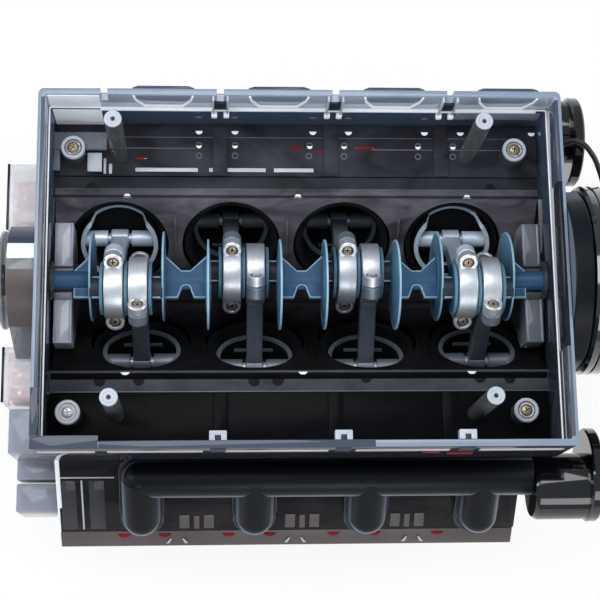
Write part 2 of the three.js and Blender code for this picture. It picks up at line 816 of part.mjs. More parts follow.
const headFace = deckFace + seatGap + linerFlange + seatGap;
const headTop = headFace + headHeight;
const portDepth = headTop - portFlangeRadius;

// A head: a clear trough with a thick floor, four exhaust port flanges and four intake ports.
function headSolid(side) {
  const shell = bankBox(side, headLeft, headRight, headFace, headTop, -intakeSide, exhaustSide);
  const hollow = bankBox(side, headLeft + headWall, headRight - headWall, headFace + headFloor, headTop + overrun,
    headWall - intakeSide, exhaustSide - headWall);
  const flanges = pairs.map((i) => portBar(side, portFlangeRadius, i, exhaustSide - headWall / 2,
    exhaustSide + portFlangeThickness, portDepth));
  const bores = pairs.map((i) => portBar(side, portBoreRadius, i, exhaustSide - headWall - overrun,
    exhaustSide + portFlangeThickness + overrun, portDepth));
  const intakes = pairs.map((i) => portBar(side, portBoreRadius, i, -intakeSide - overrun,
    headWall + overrun - intakeSide, runnerDepth));
  return cut(join([cut(shell, [hollow]), ...flanges]), [...bores, ...intakes]);
}

// A round bar across a bank, for a port, between two distances across the bore.
function portBar(side, radius, i, across0, across1, along, sides = smallSides) {
  const [y0, y1] = [side * across0, side * across1].sort((a, b) => a - b);
  const geometry = new THREE.CylinderGeometry(radius, radius, y1 - y0, sides);
  return solid(geometry.translate(cylinderX(i, side), (y0 + y1) / 2, -along).rotateX(side * bankAngle));
}

const restHeight = (headTop + seatGap + coverHeight + intakeSide) * Math.cos(bankAngle) - coverLand;

// A rocker cover: a shallow clear cap with one long edge cut level, which the engine lies on.
function coverSolid(side) {
  const low = headTop + seatGap;
  const high = low + coverHeight;
  const outline = [
    bankPoint(side, low, -intakeSide),
    bankPoint(side, high, -intakeSide),
    bankPoint(side, high, coverExhaustSide - coverCorner),
    bankPoint(side, high - coverCorner, coverExhaustSide),
    bankPoint(side, low, coverExhaustSide),
  ];
  const shell = alongX(outline, headLeft, headRight);
  const wall = coverLand / Math.cos(bankAngle);
  const hollow = bankBox(side, headLeft + headWall, headRight - headWall, low - overrun, high - headWall,
    wall + headWall - intakeSide, coverExhaustSide - coverCorner);
  const under = box(headLeft - overrun, headRight + overrun, -skirtHalfWidth * 2, skirtHalfWidth * 2,
    -restHeight - skirtHalfWidth, -restHeight);
  return cut(shell, [hollow, under]);
}

// Eight red rocker arms on their shaft, two for each cylinder.
function rockerSolid(side) {
  const x0 = headLeft + headWall + seatGap;
  const x1 = headRight - headWall - seatGap;
  const [shaftY, shaftZ] = bankPoint(side, rockerDepth, 0);
  const arms = pairs.flatMap((i) => [-1, 1].map((end) => {
    const x = cylinderX(i, side) + (end * rockerSpacing) / 2;
    return bankBox(side, x - rockerHalfWidth, x + rockerHalfWidth, rockerDepth - rockerHalfDepth,
      rockerDepth + rockerHalfDepth, -rockerHalfLength, rockerHalfLength);
  }));
  return join([barX(rockerShaftRadius, x0, x1, shaftY, shaftZ, tinySides), ...arms]);
}

const logAcross = exhaustSide + logRadius + logClearance;

// An exhaust manifold: a log along the head with four round-ended stubs on the port flanges.
function manifoldSolid(side) {
  const face = exhaustSide + portFlangeThickness + seatGap;
  const start = cylinderX(0, side);
  const [logY, logZ] = bankPoint(side, logDepth, logAcross);
  const log = barX(logRadius, start, seamX, logY, logZ, mediumSides);
  const knee = solid(new THREE.SphereGeometry(logRadius, mediumSides, tinySides).translate(start, logY, logZ));
  const stubs = pairs.flatMap((i) => {
    const x = cylinderX(i, side);
    const ball = new THREE.SphereGeometry(stubRadius, smallSides, tinySides);
    const [ballY, ballZ] = bankPoint(side, portDepth, logAcross);
    return [
      boreBar(side, stubRadius, x, logDepth, portDepth, logAcross, smallSides),
      solid(ball.rotateX(side * bankAngle).translate(x, ballY, ballZ)),
    ];
  });
  const behind = bankBox(side, headLeft - overrun, headRight + overrun, logDepth + logRadius, portDepth + 2 * stubRadius,
    0, face);
  return cut(join([log, knee, ...stubs]), [behind]);
}

// The wide outlet that follows the manifold past the seam, with its flange disc.
function outletSolid(side) {
  const [logY, logZ] = bankPoint(side, logDepth, logAcross);
  const y = logY + side * outletDrop;
  const z = logZ - outletDrop;
  const body = join([
    barX(outletRadius, seamX + seatGap, outletEnd, y, z),
    barX(outletFlangeRadius, outletFlangeStart, outletFlangeStart + outletFlangeThickness,
      y - side * outletFlangeShift, z),
  ]);
  return cut(body, [barX(outletBoreRadius, outletEnd - outletBoreDepth, outletEnd + overrun, y, z, mediumSides)]);
}

// The intake plenum in the valley, with a runner to each head port.
function intakeSolid() {
  const half = pairCentre(cylindersPerBank - 1) + bankStagger / 2 + runnerRadius;
  const plenum = alongX([
    [-intakeTopHalfWidth, intakeTop],
    [-intakeLowHalfWidth, intakeLow],
    [intakeLowHalfWidth, intakeLow],
    [intakeTopHalfWidth, intakeTop],
  ], -half, half);
  const runners = banks.flatMap(({ side }) => pairs.map((i) =>
    portBar(side, runnerRadius, i, -intakeSide - 2 * runnerRadius, -intakeSide - seatGap, runnerDepth)));
  return join([plenum, ...runners]);
}

// A pedestal that carries the shaft in an open slot, standing on the two mouth faces.
function pedestalSolid(end) {
  const outside = (end < 0 ? wellLeft : wellRight) - end * seatGap;
  const [x0, x1] = [outside, outside - end * pedestalThickness].sort((a, b) => a - b);
  const apex = -mouthFace / Math.cos(bankAngle) + seatGap / Math.cos(bankAngle);
  const half = pedestalHalfWidth;
  const outline = [[0, apex], [half, apex + half], [half, pedestalTop], [-half, pedestalTop], [-half, apex + half]];
  const slot = box(x0 - overrun, x1 + overrun, -pedestalSlotHalfWidth, pedestalSlotHalfWidth,
    0, pedestalTop + overrun);
  const saddle = barX(shaftRadius + runningGap, x0 - overrun, x1 + overrun, 0, 0, mediumSides);
  const seat = [outside + end * overrun, outside - end * (bushFlange + seatGap)].sort((a, b) => a - b);
  const bushSeat = barX(bushFlangeRadius + seatGap, seat[0], seat[1], 0, 0, mediumSides);
  return cut(alongX(outline, x0, x1), [slot, saddle, bushSeat]);
}

// A flanged bush in an end wall of the skirt.
function bushSolid(end) {
  const wall = end < 0 ? skirtLeft : skirtRight;
  const inside = (end < 0 ? wellLeft : wellRight) - end * seatGap;
  const faces = [wall, inside].sort((a, b) => a - b);
  const flange = [inside, inside - end * bushFlange].sort((a, b) => a - b);
  const body = join([
    barX(bushRadius, faces[0], faces[1], 0, 0, mediumSides),
    barX(bushFlangeRadius, flange[0], flange[1], 0, 0, mediumSides),
  ]);
  return cut(body, [barX(shaftRadius + runningGap, wall - skirtRight, wall + skirtRight, 0, 0, mediumSides)]);
}

// Points of the egg-shaped timing cover outline, at a distance inside its outer face.
function timingOutline(inset) {
  const top = timingCoverTopRadius - inset;
  const low = timingCoverLowRadius - inset;
  const lean = Math.asin((low - top) / Math.abs(camHeight));
  return [
    ...arc(top, lean, Math.PI - lean, 0, 0, 2 * arcSteps),
    ...arc(low, Math.PI - lean, 2 * Math.PI + lean, 0, camHeight, 3 * arcSteps),
  ];
}

// The clear timing cover over the two gears, with a clear box on each side.
function timingCoverSolid() {
  const shell = cut(alongX(timingOutline(0), timingCoverStart, timingCoverBack), [
    alongX(timingOutline(timingCoverWall), timingCoverStart + timingCoverWall, timingCoverBack + overrun),
  ]);
  const boxes = banks.map(({ side }) => {
    const [y0, y1] = [side * timingBoxNear, side * timingBoxFar].sort((a, b) => a - b);
    return box(timingBoxStart, timingCoverBack, y0, y1, timingBoxFoot, timingBoxTop);
  });
  const hollows = [
    ...banks.map(({ side }) => {
      const near = side * (timingBoxNear + timingCoverWall);
      const far = side * (timingBoxFar - timingCoverWall);
      const [y0, y1] = [near, far].sort((a, b) => a - b);
      return box(timingBoxStart + timingCoverWall, timingCoverBack + overrun, y0, y1,
        timingBoxFoot + timingCoverWall, timingBoxTop - timingCoverWall);
    }),
    alongX(timingOutline(timingCoverWall), timingCoverStart + timingCoverWall, timingCoverBack + overrun),
  ];
  const hub = barX(gearHubRadius + runningGap, timingCoverStart - overrun, timingCoverStart + 2 * timingCoverWall,
    0, 0, mediumSides);
  return cut(join([shell, ...boxes]), [...hollows, hub]);
}

// The round adaptor between the end wall and the flywheel.
function adaptorSolid() {
  const profile = [
    [adaptorHubRadius, adaptorStart],
    [adaptorRadius, adaptorStart],
    [adaptorRadius, flywheelStart - seatGap],
    [adaptorRadius - adaptorWall, flywheelStart - seatGap],
    [adaptorRadius - adaptorWall, adaptorStart + adaptorWall],
    [adaptorHubRadius, adaptorStart + adaptorWall],
    [adaptorHubRadius, adaptorStart],
  ];
  return turned(profile);
}

// The drive motor's housing, held under the flywheel by a strap from the block.
function motorSolid() {
  const can = barX(motorRadius, motorStart, motorEnd);
  const strapTop = -flywheelRadius - 2 * seatGap;
  const strap = join([
    box(adaptorStart, motorEnd, -motorStrapHalfWidth, motorStrapHalfWidth, strapTop - motorStrapThickness, strapTop),
    box(motorStart, motorEnd, -motorStrapHalfWidth, motorStrapHalfWidth, strapTop - motorStrapThickness, -motorFoot),
  ]);
  const socket = barX(shaftRadius + runningGap, motorStart - overrun, motorStart + overrun, 0, 0, mediumSides);
  return cut(join([can, strap]), [socket]);
}

// The lead from its connector on the end wall, over the flywheel's edge and into the motor housing.
function leadSolid() {
  const route = new THREE.CatmullRomCurve3(leadRoute.map(([x, y, z]) => new THREE.Vector3(skirtRight + x, y, z)));
  const section = new THREE.Shape(arc(leadRadius, 0, 2 * Math.PI, 0, 0, smallSides).slice(1)
    .map(([u, v]) => new THREE.Vector2(u, v)));
  return solid(new THREE.ExtrudeGeometry(section, { steps: leadSteps, extrudePath: route }));
}

function connectorSolid() {
  const [x, y, z] = leadRoute[0];
  const start = skirtRight + Math.max(seatGap, x - leadRadius);
  return box(skirtRight + seatGap, start + connectorLength, connectorNear, y - seatGap,
    z - connectorHalfHeight, z + connectorHalfHeight);
}

function addHousings() {
  piece("crankcase_skirt", skirtSolid(), clearSmoke);
  piece("cylinder_block", blockSolid(), clearSmoke);
  piece("front_bearing_pedestal", pedestalSolid(-1), clearSmoke);
  piece("rear_bearing_pedestal", pedestalSolid(1), clearSmoke);
  piece("front_main_bush", bushSolid(-1), brightSilver);
  piece("rear_main_bush", bushSolid(1), brightSilver);
  piece("timing_cover", timingCoverSolid(), clearSmoke);
  piece("flywheel_adaptor", adaptorSolid(), glossBlack);
  piece("motor_housing", motorSolid(), glossBlack);
  piece("power_lead", leadSolid(), linerBlack);
  piece("lead_connector", connectorSolid(), smokeGrey);
  piece("intake_manifold", intakeSolid(), glossBlack);
  for (const { side, label } of banks) {
    piece(`liner_block_${label}`, linerSolid(side), linerBlack);
    piece(`cylinder_head_${label}`, headSolid(side), clearSmoke);
    piece(`rocker_cover_${label}`, coverSolid(side), clearSmoke);
    piece(`rocker_row_${label}`, rockerSolid(side), signalRed);
    piece(`exhaust_manifold_${label}`, manifoldSolid(side), glossBlack);
    piece(`exhaust_outlet_${label}`, outletSolid(side), glossBlack);
  }
}

addCrankTrain();
addPistonsAndRods();
addHousings();

// The origin is under the middle of the whole engine, on the surface that it lies on.
engine.position.set(-(pulleyStart + motorEnd) / 2, 0, restHeight);

const part = new THREE.Group();
part.add(engine);
export default part;
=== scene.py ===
"""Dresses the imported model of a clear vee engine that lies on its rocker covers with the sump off."""

import json
import logging
import math
from dataclasses import dataclass
from enum import Enum
from typing import Iterable, Iterator, Optional, Sequence

import bmesh
import bpy
from mathutils import Matrix, Vector


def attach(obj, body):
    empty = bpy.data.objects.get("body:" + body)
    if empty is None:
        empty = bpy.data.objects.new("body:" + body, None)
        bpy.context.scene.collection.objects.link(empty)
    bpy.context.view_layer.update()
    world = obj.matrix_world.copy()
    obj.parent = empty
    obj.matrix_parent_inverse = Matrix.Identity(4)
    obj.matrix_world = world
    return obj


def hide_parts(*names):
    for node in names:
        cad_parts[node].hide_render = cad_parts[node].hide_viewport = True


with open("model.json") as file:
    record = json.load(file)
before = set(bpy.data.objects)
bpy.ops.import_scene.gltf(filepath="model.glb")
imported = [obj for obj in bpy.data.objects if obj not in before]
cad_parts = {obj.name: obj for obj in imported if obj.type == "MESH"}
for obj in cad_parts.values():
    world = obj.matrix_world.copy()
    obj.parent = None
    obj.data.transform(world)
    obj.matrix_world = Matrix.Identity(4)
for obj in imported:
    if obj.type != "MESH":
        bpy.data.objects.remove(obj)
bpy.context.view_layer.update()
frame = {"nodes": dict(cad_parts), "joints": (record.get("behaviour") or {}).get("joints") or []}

log = logging.getLogger("engine")
Point = Sequence[float]

MM = 1000.0  # millimetres in a metre
# The middle of the crankshaft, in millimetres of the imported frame: every size below is measured from it.
AXIS = Vector(next(j for j in frame["joints"] if j["name"] == "crank_turn")["pos_m"]) * MM
CYLINDERS = range(4)
BORE_SPACING = 40.0
BANK_STAGGER = 8.2
BANK_ANGLE = math.radians(45)
CRANK_THROW = 7.9
BIG_END_LEAD = 0.9
ROD_LENGTH = 36.0
CRANK_REST = math.radians(34.5)
MOUTH = 24.6
DECK = 55.0
HEAD_FACE = 57.1
HEAD_TOP = 90.1
EXHAUST_SIDE = 26.5
INTAKE_SIDE = 20.0
CAM_DROP = -44.0
GEAR_MODULE = 88 / 48
SHAFT_HOLE = 5.7
BOTH = (-1, 1)
TURN_X = Matrix.Rotation(math.radians(90), 4, "Y")
TURN_Y = Matrix.Rotation(math.radians(-90), 4, "X")
TO_WALL = Matrix.Rotation(math.radians(90), 4, "X")
# Turns an outline given as (y, z) so that it is drawn along X.
SIDEWAYS = Matrix(((0, 0, 1, 0), (1, 0, 0, 0), (0, 1, 0, 0), (0, 0, 0, 1)))
# Turns an outline given as (x, z) so that it is drawn along Y.
SIDE_ON = Matrix(((1, 0, 0, 0), (0, 0, 1, 0), (0, 1, 0, 0), (0, 0, 0, 1)))
# The ends of the crankcase, of the well inside it and of the heads, and the notches in its back wall.
CASE_LEFT = -89.5
CASE_RIGHT = 88.8
WELL_LEFT = -86.3
WELL_RIGHT = 85.6
HEAD_LEFT = -86.0
HEAD_RIGHT = 79.5
NOTCHES = [-67.5 + 39.4 * i for i in CYLINDERS]


class Bank(Enum):
    """The two rows of cylinders; the value is the sign of their side."""

    REAR = 1
    FRONT = -1

    @property
    def label(self) -> str:
        """The bank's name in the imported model."""
        return self.name.lower()

    def place(self) -> Matrix:
        """Turns (x, across, along the bore) into the engine's own axes."""
        c = math.cos(BANK_ANGLE)
        s = math.sin(BANK_ANGLE)
        return Matrix(((1, 0, 0, 0), (0, self.value * c, self.value * s, 0), (0, s, -c, 0), (0, 0, 0, 1)))

    def cylinder(self, index: int) -> float:
        """The place of a cylinder along the crankshaft."""
        return (index - 1.5) * BORE_SPACING - self.value * BANK_STAGGER / 2

    def bore(self, index: int, across: float = 0, along: float = 0, shift: float = 0) -> Matrix:
        """A place on a cylinder's line, moved across the bank, along the bore or along the crankshaft."""
        return self.place() @ at(self.cylinder(index) + shift, across, along)


def at(x: float, y: float, z: float) -> Matrix:
    """A shift in millimetres."""
    return Matrix.Translation((x, y, z))


def arc(radius: float, start: float, end: float, u: float = 0, v: float = 0,
        steps: int = 16) -> list[Point]:
    """Points of an arc in a plane, with its angles in degrees."""
    angles = [math.radians(start + (end - start) * i / steps) for i in range(steps + 1)]
    return [(u + radius * math.cos(a), v + radius * math.sin(a)) for a in angles]


def rounded(half_x: float, half_y: float, radius: float) -> list[Point]:
    """Points round a rectangle with rounded corners, about the origin."""
    points = []
    for turn, (side_x, side_y) in enumerate(((1, 1), (-1, 1), (-1, -1), (1, -1))):
        points += arc(radius, 90 * turn, 90 * turn + 90, side_x * (half_x - radius),
                      side_y * (half_y - radius), 5)
    return points


class Shape:
    """A mesh in the making, in millimetres of the engine's own axes, put together from bevelled forms."""

    def __init__(self) -> None:
        """Starts with no faces."""
        self.mesh = bmesh.new()

    def take(self, part: bmesh.types.BMesh, turn: Optional[Matrix] = None, fix: bool = False) -> "Shape":
        """Adds a finished form.

        Args:
            part: the form, which is used up.
            turn: where it goes.
            fix: true where its normals have to be worked out again.

        Returns:
            This shape.
        """
        bmesh.ops.remove_doubles(part, verts=part.verts, dist=1e-4)
        if fix:
            bmesh.ops.recalc_face_normals(part, faces=part.faces)
        if turn is not None:
            bmesh.ops.transform(part, matrix=turn, verts=part.verts)
            if turn.determinant() < 0:
                bmesh.ops.reverse_faces(part, faces=part.faces)
        store = bpy.data.meshes.new("form")
        part.to_mesh(store)
        part.free()
        self.mesh.from_mesh(store)
        bpy.data.meshes.remove(store)
        return self

    @staticmethod
    def soften(part: bmesh.types.BMesh, width: float, segments: int = 2, sharp: float = 30) -> None:
        """Rounds the edges of a form that are sharper than an angle in degrees."""
        if width <= 0:
            return
        limit = math.radians(sharp)
        edges = [e for e in part.edges if len(e.link_faces) == 2 and e.calc_face_angle(0) > limit]
        bmesh.ops.bevel(part, geom=edges, offset=width, offset_type="OFFSET", segments=segments,
                        profile=0.5, affect="EDGES", clamp_overlap=True, material=-1)

    @staticmethod
    def draw(part: bmesh.types.BMesh, faces: list, rise: float) -> list:
        """Draws faces out along Z and returns the faces that have moved."""
        moved = bmesh.ops.extrude_face_region(part, geom=faces)["geom"]
        verts = [v for v in moved if isinstance(v, bmesh.types.BMVert)]
        bmesh.ops.translate(part, vec=(0, 0, rise), verts=verts)
        return [f for f in moved if isinstance(f, bmesh.types.BMFace)]

    def block(self, low: Point, high: Point, bevel: float = 0.3, turn: Optional[Matrix] = None) -> "Shape":
        """Adds a box between two opposite corners, in any order, with rounded edges."""
        part = bmesh.new()
        bmesh.ops.create_cube(part, size=1)
        size = [abs(b - a) for a, b in zip(low, high)]
        bmesh.ops.scale(part, vec=size, verts=part.verts)
        bmesh.ops.translate(part, vec=[(a + b) / 2 for a, b in zip(low, high)], verts=part.verts)
        self.soften(part, min(bevel, min(size) * 0.45))
        return self.take(part, turn)

    def bar(self, radius: float, start: float, end: float, turn: Optional[Matrix] = None,
            bevel: float = 0.25, sides: int = 48, tip: Optional[float] = None) -> "Shape":
        """Adds a round bar along its own Z, with rounded rims; tip is the radius at its end."""
        part = bmesh.new()
        bmesh.ops.create_cone(part, cap_ends=True, segments=sides, radius1=radius,
                              radius2=radius if tip is None else tip, depth=end - start)
        bmesh.ops.translate(part, vec=(0, 0, (start + end) / 2), verts=part.verts)
        self.soften(part, min(bevel, (end - start) * 0.4, radius * 0.4), sharp=40)
        return self.take(part, turn)

    def spun(self, profile: Sequence[Point], turn: Optional[Matrix] = None, steps: int = 48,
             closed: bool = False) -> "Shape":
        """Adds a profile of (radius, height) turned round its own Z.

        Args:
            profile: the outline's points.
            turn: where it goes.
            steps: how many faces go round.
            closed: true where the outline comes back to its first point.

        Returns:
            This shape.
        """
        part = bmesh.new()
        points = [part.verts.new((r, 0, z)) for r, z in profile]
        ends = points[1:] + ([points[0]] if closed else [])
        edges = [part.edges.new(pair) for pair in zip(points, ends)]
        bmesh.ops.spin(part, geom=points + edges, cent=(0, 0, 0), axis=(0, 0, 1), angle=2 * math.pi,
                       steps=steps, use_merge=True)
        return self.take(part, turn, fix=True)

    def plate(self, outline: Sequence[Point], low: float, high: float, turn: Optional[Matrix] = None,
              bevel: float = 0.3, segments: int = 2) -> "Shape":
        """Adds an outline in its own X-Y plane, drawn from low to high, with rounded edges."""
        part = bmesh.new()
        self.draw(part, [part.faces.new([part.verts.new((x, y, low)) for x, y in outline])], high - low)
        bmesh.ops.recalc_face_normals(part, faces=part.faces)
        self.soften(part, bevel, segments)
        return self.take(part, turn)

    def ball(self, radius: float, turn: Matrix) -> "Shape":
        """Adds a ball."""
        part = bmesh.new()
        bmesh.ops.create_uvsphere(part, u_segments=32, v_segments=16, radius=radius)
        return self.take(part, turn)

    def ring_frame(self, half: Point, wall: float, low: float, high: float, corner: float, bevel: float,
                   turn: Matrix) -> "Shape":
        """Adds an upright wall round a rectangle with rounded corners.

        Args:
            half: half the outer length and width.
            wall: the wall's thickness.
            low: its foot.
            high: its rim.
            corner: the outer corners' radius.
            bevel: how round its edges are.
            turn: where it goes.

        Returns:
            This shape.
        """
        part = bmesh.new()
        edges = []
        for inset in (0, wall):
            points = rounded(half[0] - inset, half[1] - inset, max(corner - inset, 0.4))
            ring = [part.verts.new((x, y, low)) for x, y in points]
            edges += [part.edges.new(pair) for pair in zip(ring, ring[1:] + ring[:1])]
        bmesh.ops.bridge_loops(part, edges=edges)
        self.draw(part, list(part.faces), high - low)
        bmesh.ops.recalc_face_normals(part, faces=part.faces)
        self.soften(part, bevel, sharp=50)
        return self.take(part, turn)

    def copied(self, node: str, bevel: float) -> "Shape":
        """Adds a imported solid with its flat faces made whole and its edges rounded."""
        part = bmesh.new()
        part.from_mesh(frame["nodes"][node].data)
        bmesh.ops.scale(part, vec=[MM] * 3, verts=part.verts)
        bmesh.ops.translate(part, vec=-AXIS, verts=part.verts)
        bmesh.ops.remove_doubles(part, verts=part.verts, dist=1e-3)
        bmesh.ops.dissolve_limit(part, angle_limit=math.radians(1), verts=part.verts, edges=part.edges)
        self.soften(part, bevel, sharp=35)
        return self.take(part)

    def cup(self, outline: Sequence[Point], low: float, high: float, wall: float, floor: float,
            turn: Optional[Matrix] = None, bevel: float = 0.3) -> "Shape":
        """Adds a thin-walled tray: an outline drawn from low to high, hollow from its high side.

        Args:
            outline: the outer outline's points.
            low: where its floor is.
            high: where its mouth is.
            wall: the walls' thickness.
            floor: the floor's thickness.
            turn: where it goes.
            bevel: how round its edges are.

        Returns:
            This shape.
        """
        part = bmesh.new()
        base = part.faces.new([part.verts.new((x, y, low)) for x, y in outline])
        mouth = self.draw(part, [base], high - low)
        bmesh.ops.inset_region(part, faces=mouth, thickness=wall, use_even_offset=True)
        self.draw(part, mouth, low + floor - high)
        bmesh.ops.delete(part, geom=mouth, context="FACES")
        bmesh.ops.recalc_face_normals(part, faces=part.faces)
        self.soften(part, bevel)
        return self.take(part, turn)

    def join(self, other: "Shape") -> "Shape":
        """Adds another shape's faces, and uses it up."""
        return self.take(other.mesh)

    def cut(self, tool: "Shape") -> "Shape":
        """Takes another shape away from this one."""
        body = self.loose("body")
        blade = tool.loose("blade")
        step = body.modifiers.new("cut", "BOOLEAN")
        step.operation = "DIFFERENCE"
        step.solver = "EXACT"
        step.object = blade
        bpy.context.view_layer.update()
        shaped = body.evaluated_get(bpy.context.evaluated_depsgraph_get()).to_mesh()
        self.mesh = bmesh.new()
        self.mesh.from_mesh(shaped)
        for used in (body, blade):
            bpy.data.objects.remove(used)
        return self

    def stamp(self, mesh: bpy.types.Mesh, turn: Matrix) -> "Shape":
        """Adds a copy of a ready mesh."""
        part = bmesh.new()
        part.from_mesh(mesh)
        return self.take(part, turn)

    def loose(self, name: str) -> bpy.types.Object:
        """An object of this shape as it is, in millimetres, for one step."""
        store = bpy.data.meshes.new(name)
        self.mesh.to_mesh(store)
        self.mesh.free()
        thing = bpy.data.objects.new(name, store)
        bpy.context.scene.collection.objects.link(thing)
        return thing

    def piece(self, name: str, finish: "Look", body: str = "engine", stands_for: Iterable[str] = (),
              slot: str = "clear_smoke_plastic", sharp: float = 38) -> None:
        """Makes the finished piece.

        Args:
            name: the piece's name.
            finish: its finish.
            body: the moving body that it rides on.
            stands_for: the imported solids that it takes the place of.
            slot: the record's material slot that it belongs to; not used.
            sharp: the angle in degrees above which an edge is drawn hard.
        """
        bmesh.ops.translate(self.mesh, vec=AXIS, verts=self.mesh.verts)
        bmesh.ops.scale(self.mesh, vec=[1 / MM] * 3, verts=self.mesh.verts)
        store = bpy.data.meshes.new(name)
        self.mesh.to_mesh(store)
        self.mesh.free()
        store.polygons.foreach_set("use_smooth", [True] * len(store.polygons))
        store.set_sharp_from_angle(angle=math.radians(sharp))
        store.materials.append(finish.material())
        thing = bpy.data.objects.new(name, store)
        bpy.context.scene.collection.objects.link(thing)
        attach(thing, body)
        for node in stands_for:
            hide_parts(node)
        log.info("%s rides on %s, %d faces", name, body, len(store.polygons))


Colour = tuple[float, float, float]
# The painted sheen: an outline seen at a glancing angle is painted paler.
GLANCING_SHEEN_SPAN = (0.55, 0.82)  # between which glances an outline sets in
# A clear part is painted paler at a glancing angle, a painted sheen, as it also hides more there.
PALE_BLEND = 0.35  # how early the edges of a clear part turn pale
PALE_POWER = 2.2  # and how quickly
CLOUD_BLACK = (0.002, 0.002, 0.003)  # the dark patches in a clear part
ACRYLIC_IOR = 1.49


class Wires:
    """Adds nodes to a node tree and joins them."""

    def __init__(self, tree: bpy.types.NodeTree) -> None:
        """Keeps the tree that the nodes go into."""
        self.tree = tree

    def add(self, kind: str, values: Optional[dict] = None, **settings) -> bpy.types.Node:
        """Adds one node.

        Args:
            kind: Blender's name of the node's type, without its prefix.
            values: a plain value, or an output to join, for each input by its name or number.
            settings: the node's own properties.

        Returns:
            The node.
        """
        node = self.tree.nodes.new("ShaderNode" + kind)
        for key, value in settings.items():
            setattr(node, key, value)
        for key, value in (values or {}).items():
            if isinstance(value, bpy.types.NodeSocket):
                self.tree.links.new(value, node.inputs[key])
            else:
                node.inputs[key].default_value = value
        return node

    def sum(self, operation: str, first: object, second: object = 0.0,
            clamp: bool = False) -> bpy.types.NodeSocket:
        """Works out one step of arithmetic and returns its result."""
        return self.add("Math", {0: first, 1: second}, operation=operation, use_clamp=clamp).outputs[0]

    def span(self, value: object, low: float, high: float, start: object = 0.0,
             end: object = 1.0) -> bpy.types.NodeSocket:
        """Stretches a value from one range to another, held inside it."""
        return self.add("MapRange", {"Value": value, "From Min": low, "From Max": high, "To Min": start,
                                     "To Max": end}).outputs[0]

    def blend(self, share: object, first: object, second: object) -> bpy.types.NodeSocket:
        """Mixes two colours by a share."""
        node = self.add("Mix", data_type="RGBA")
        for place, value in ((0, share), (6, first), (7, second)):
            if isinstance(value, bpy.types.NodeSocket):
                self.tree.links.new(value, node.inputs[place])
            else:
                node.inputs[place].default_value = (*value, 1) if place else value
        return node.outputs[2]


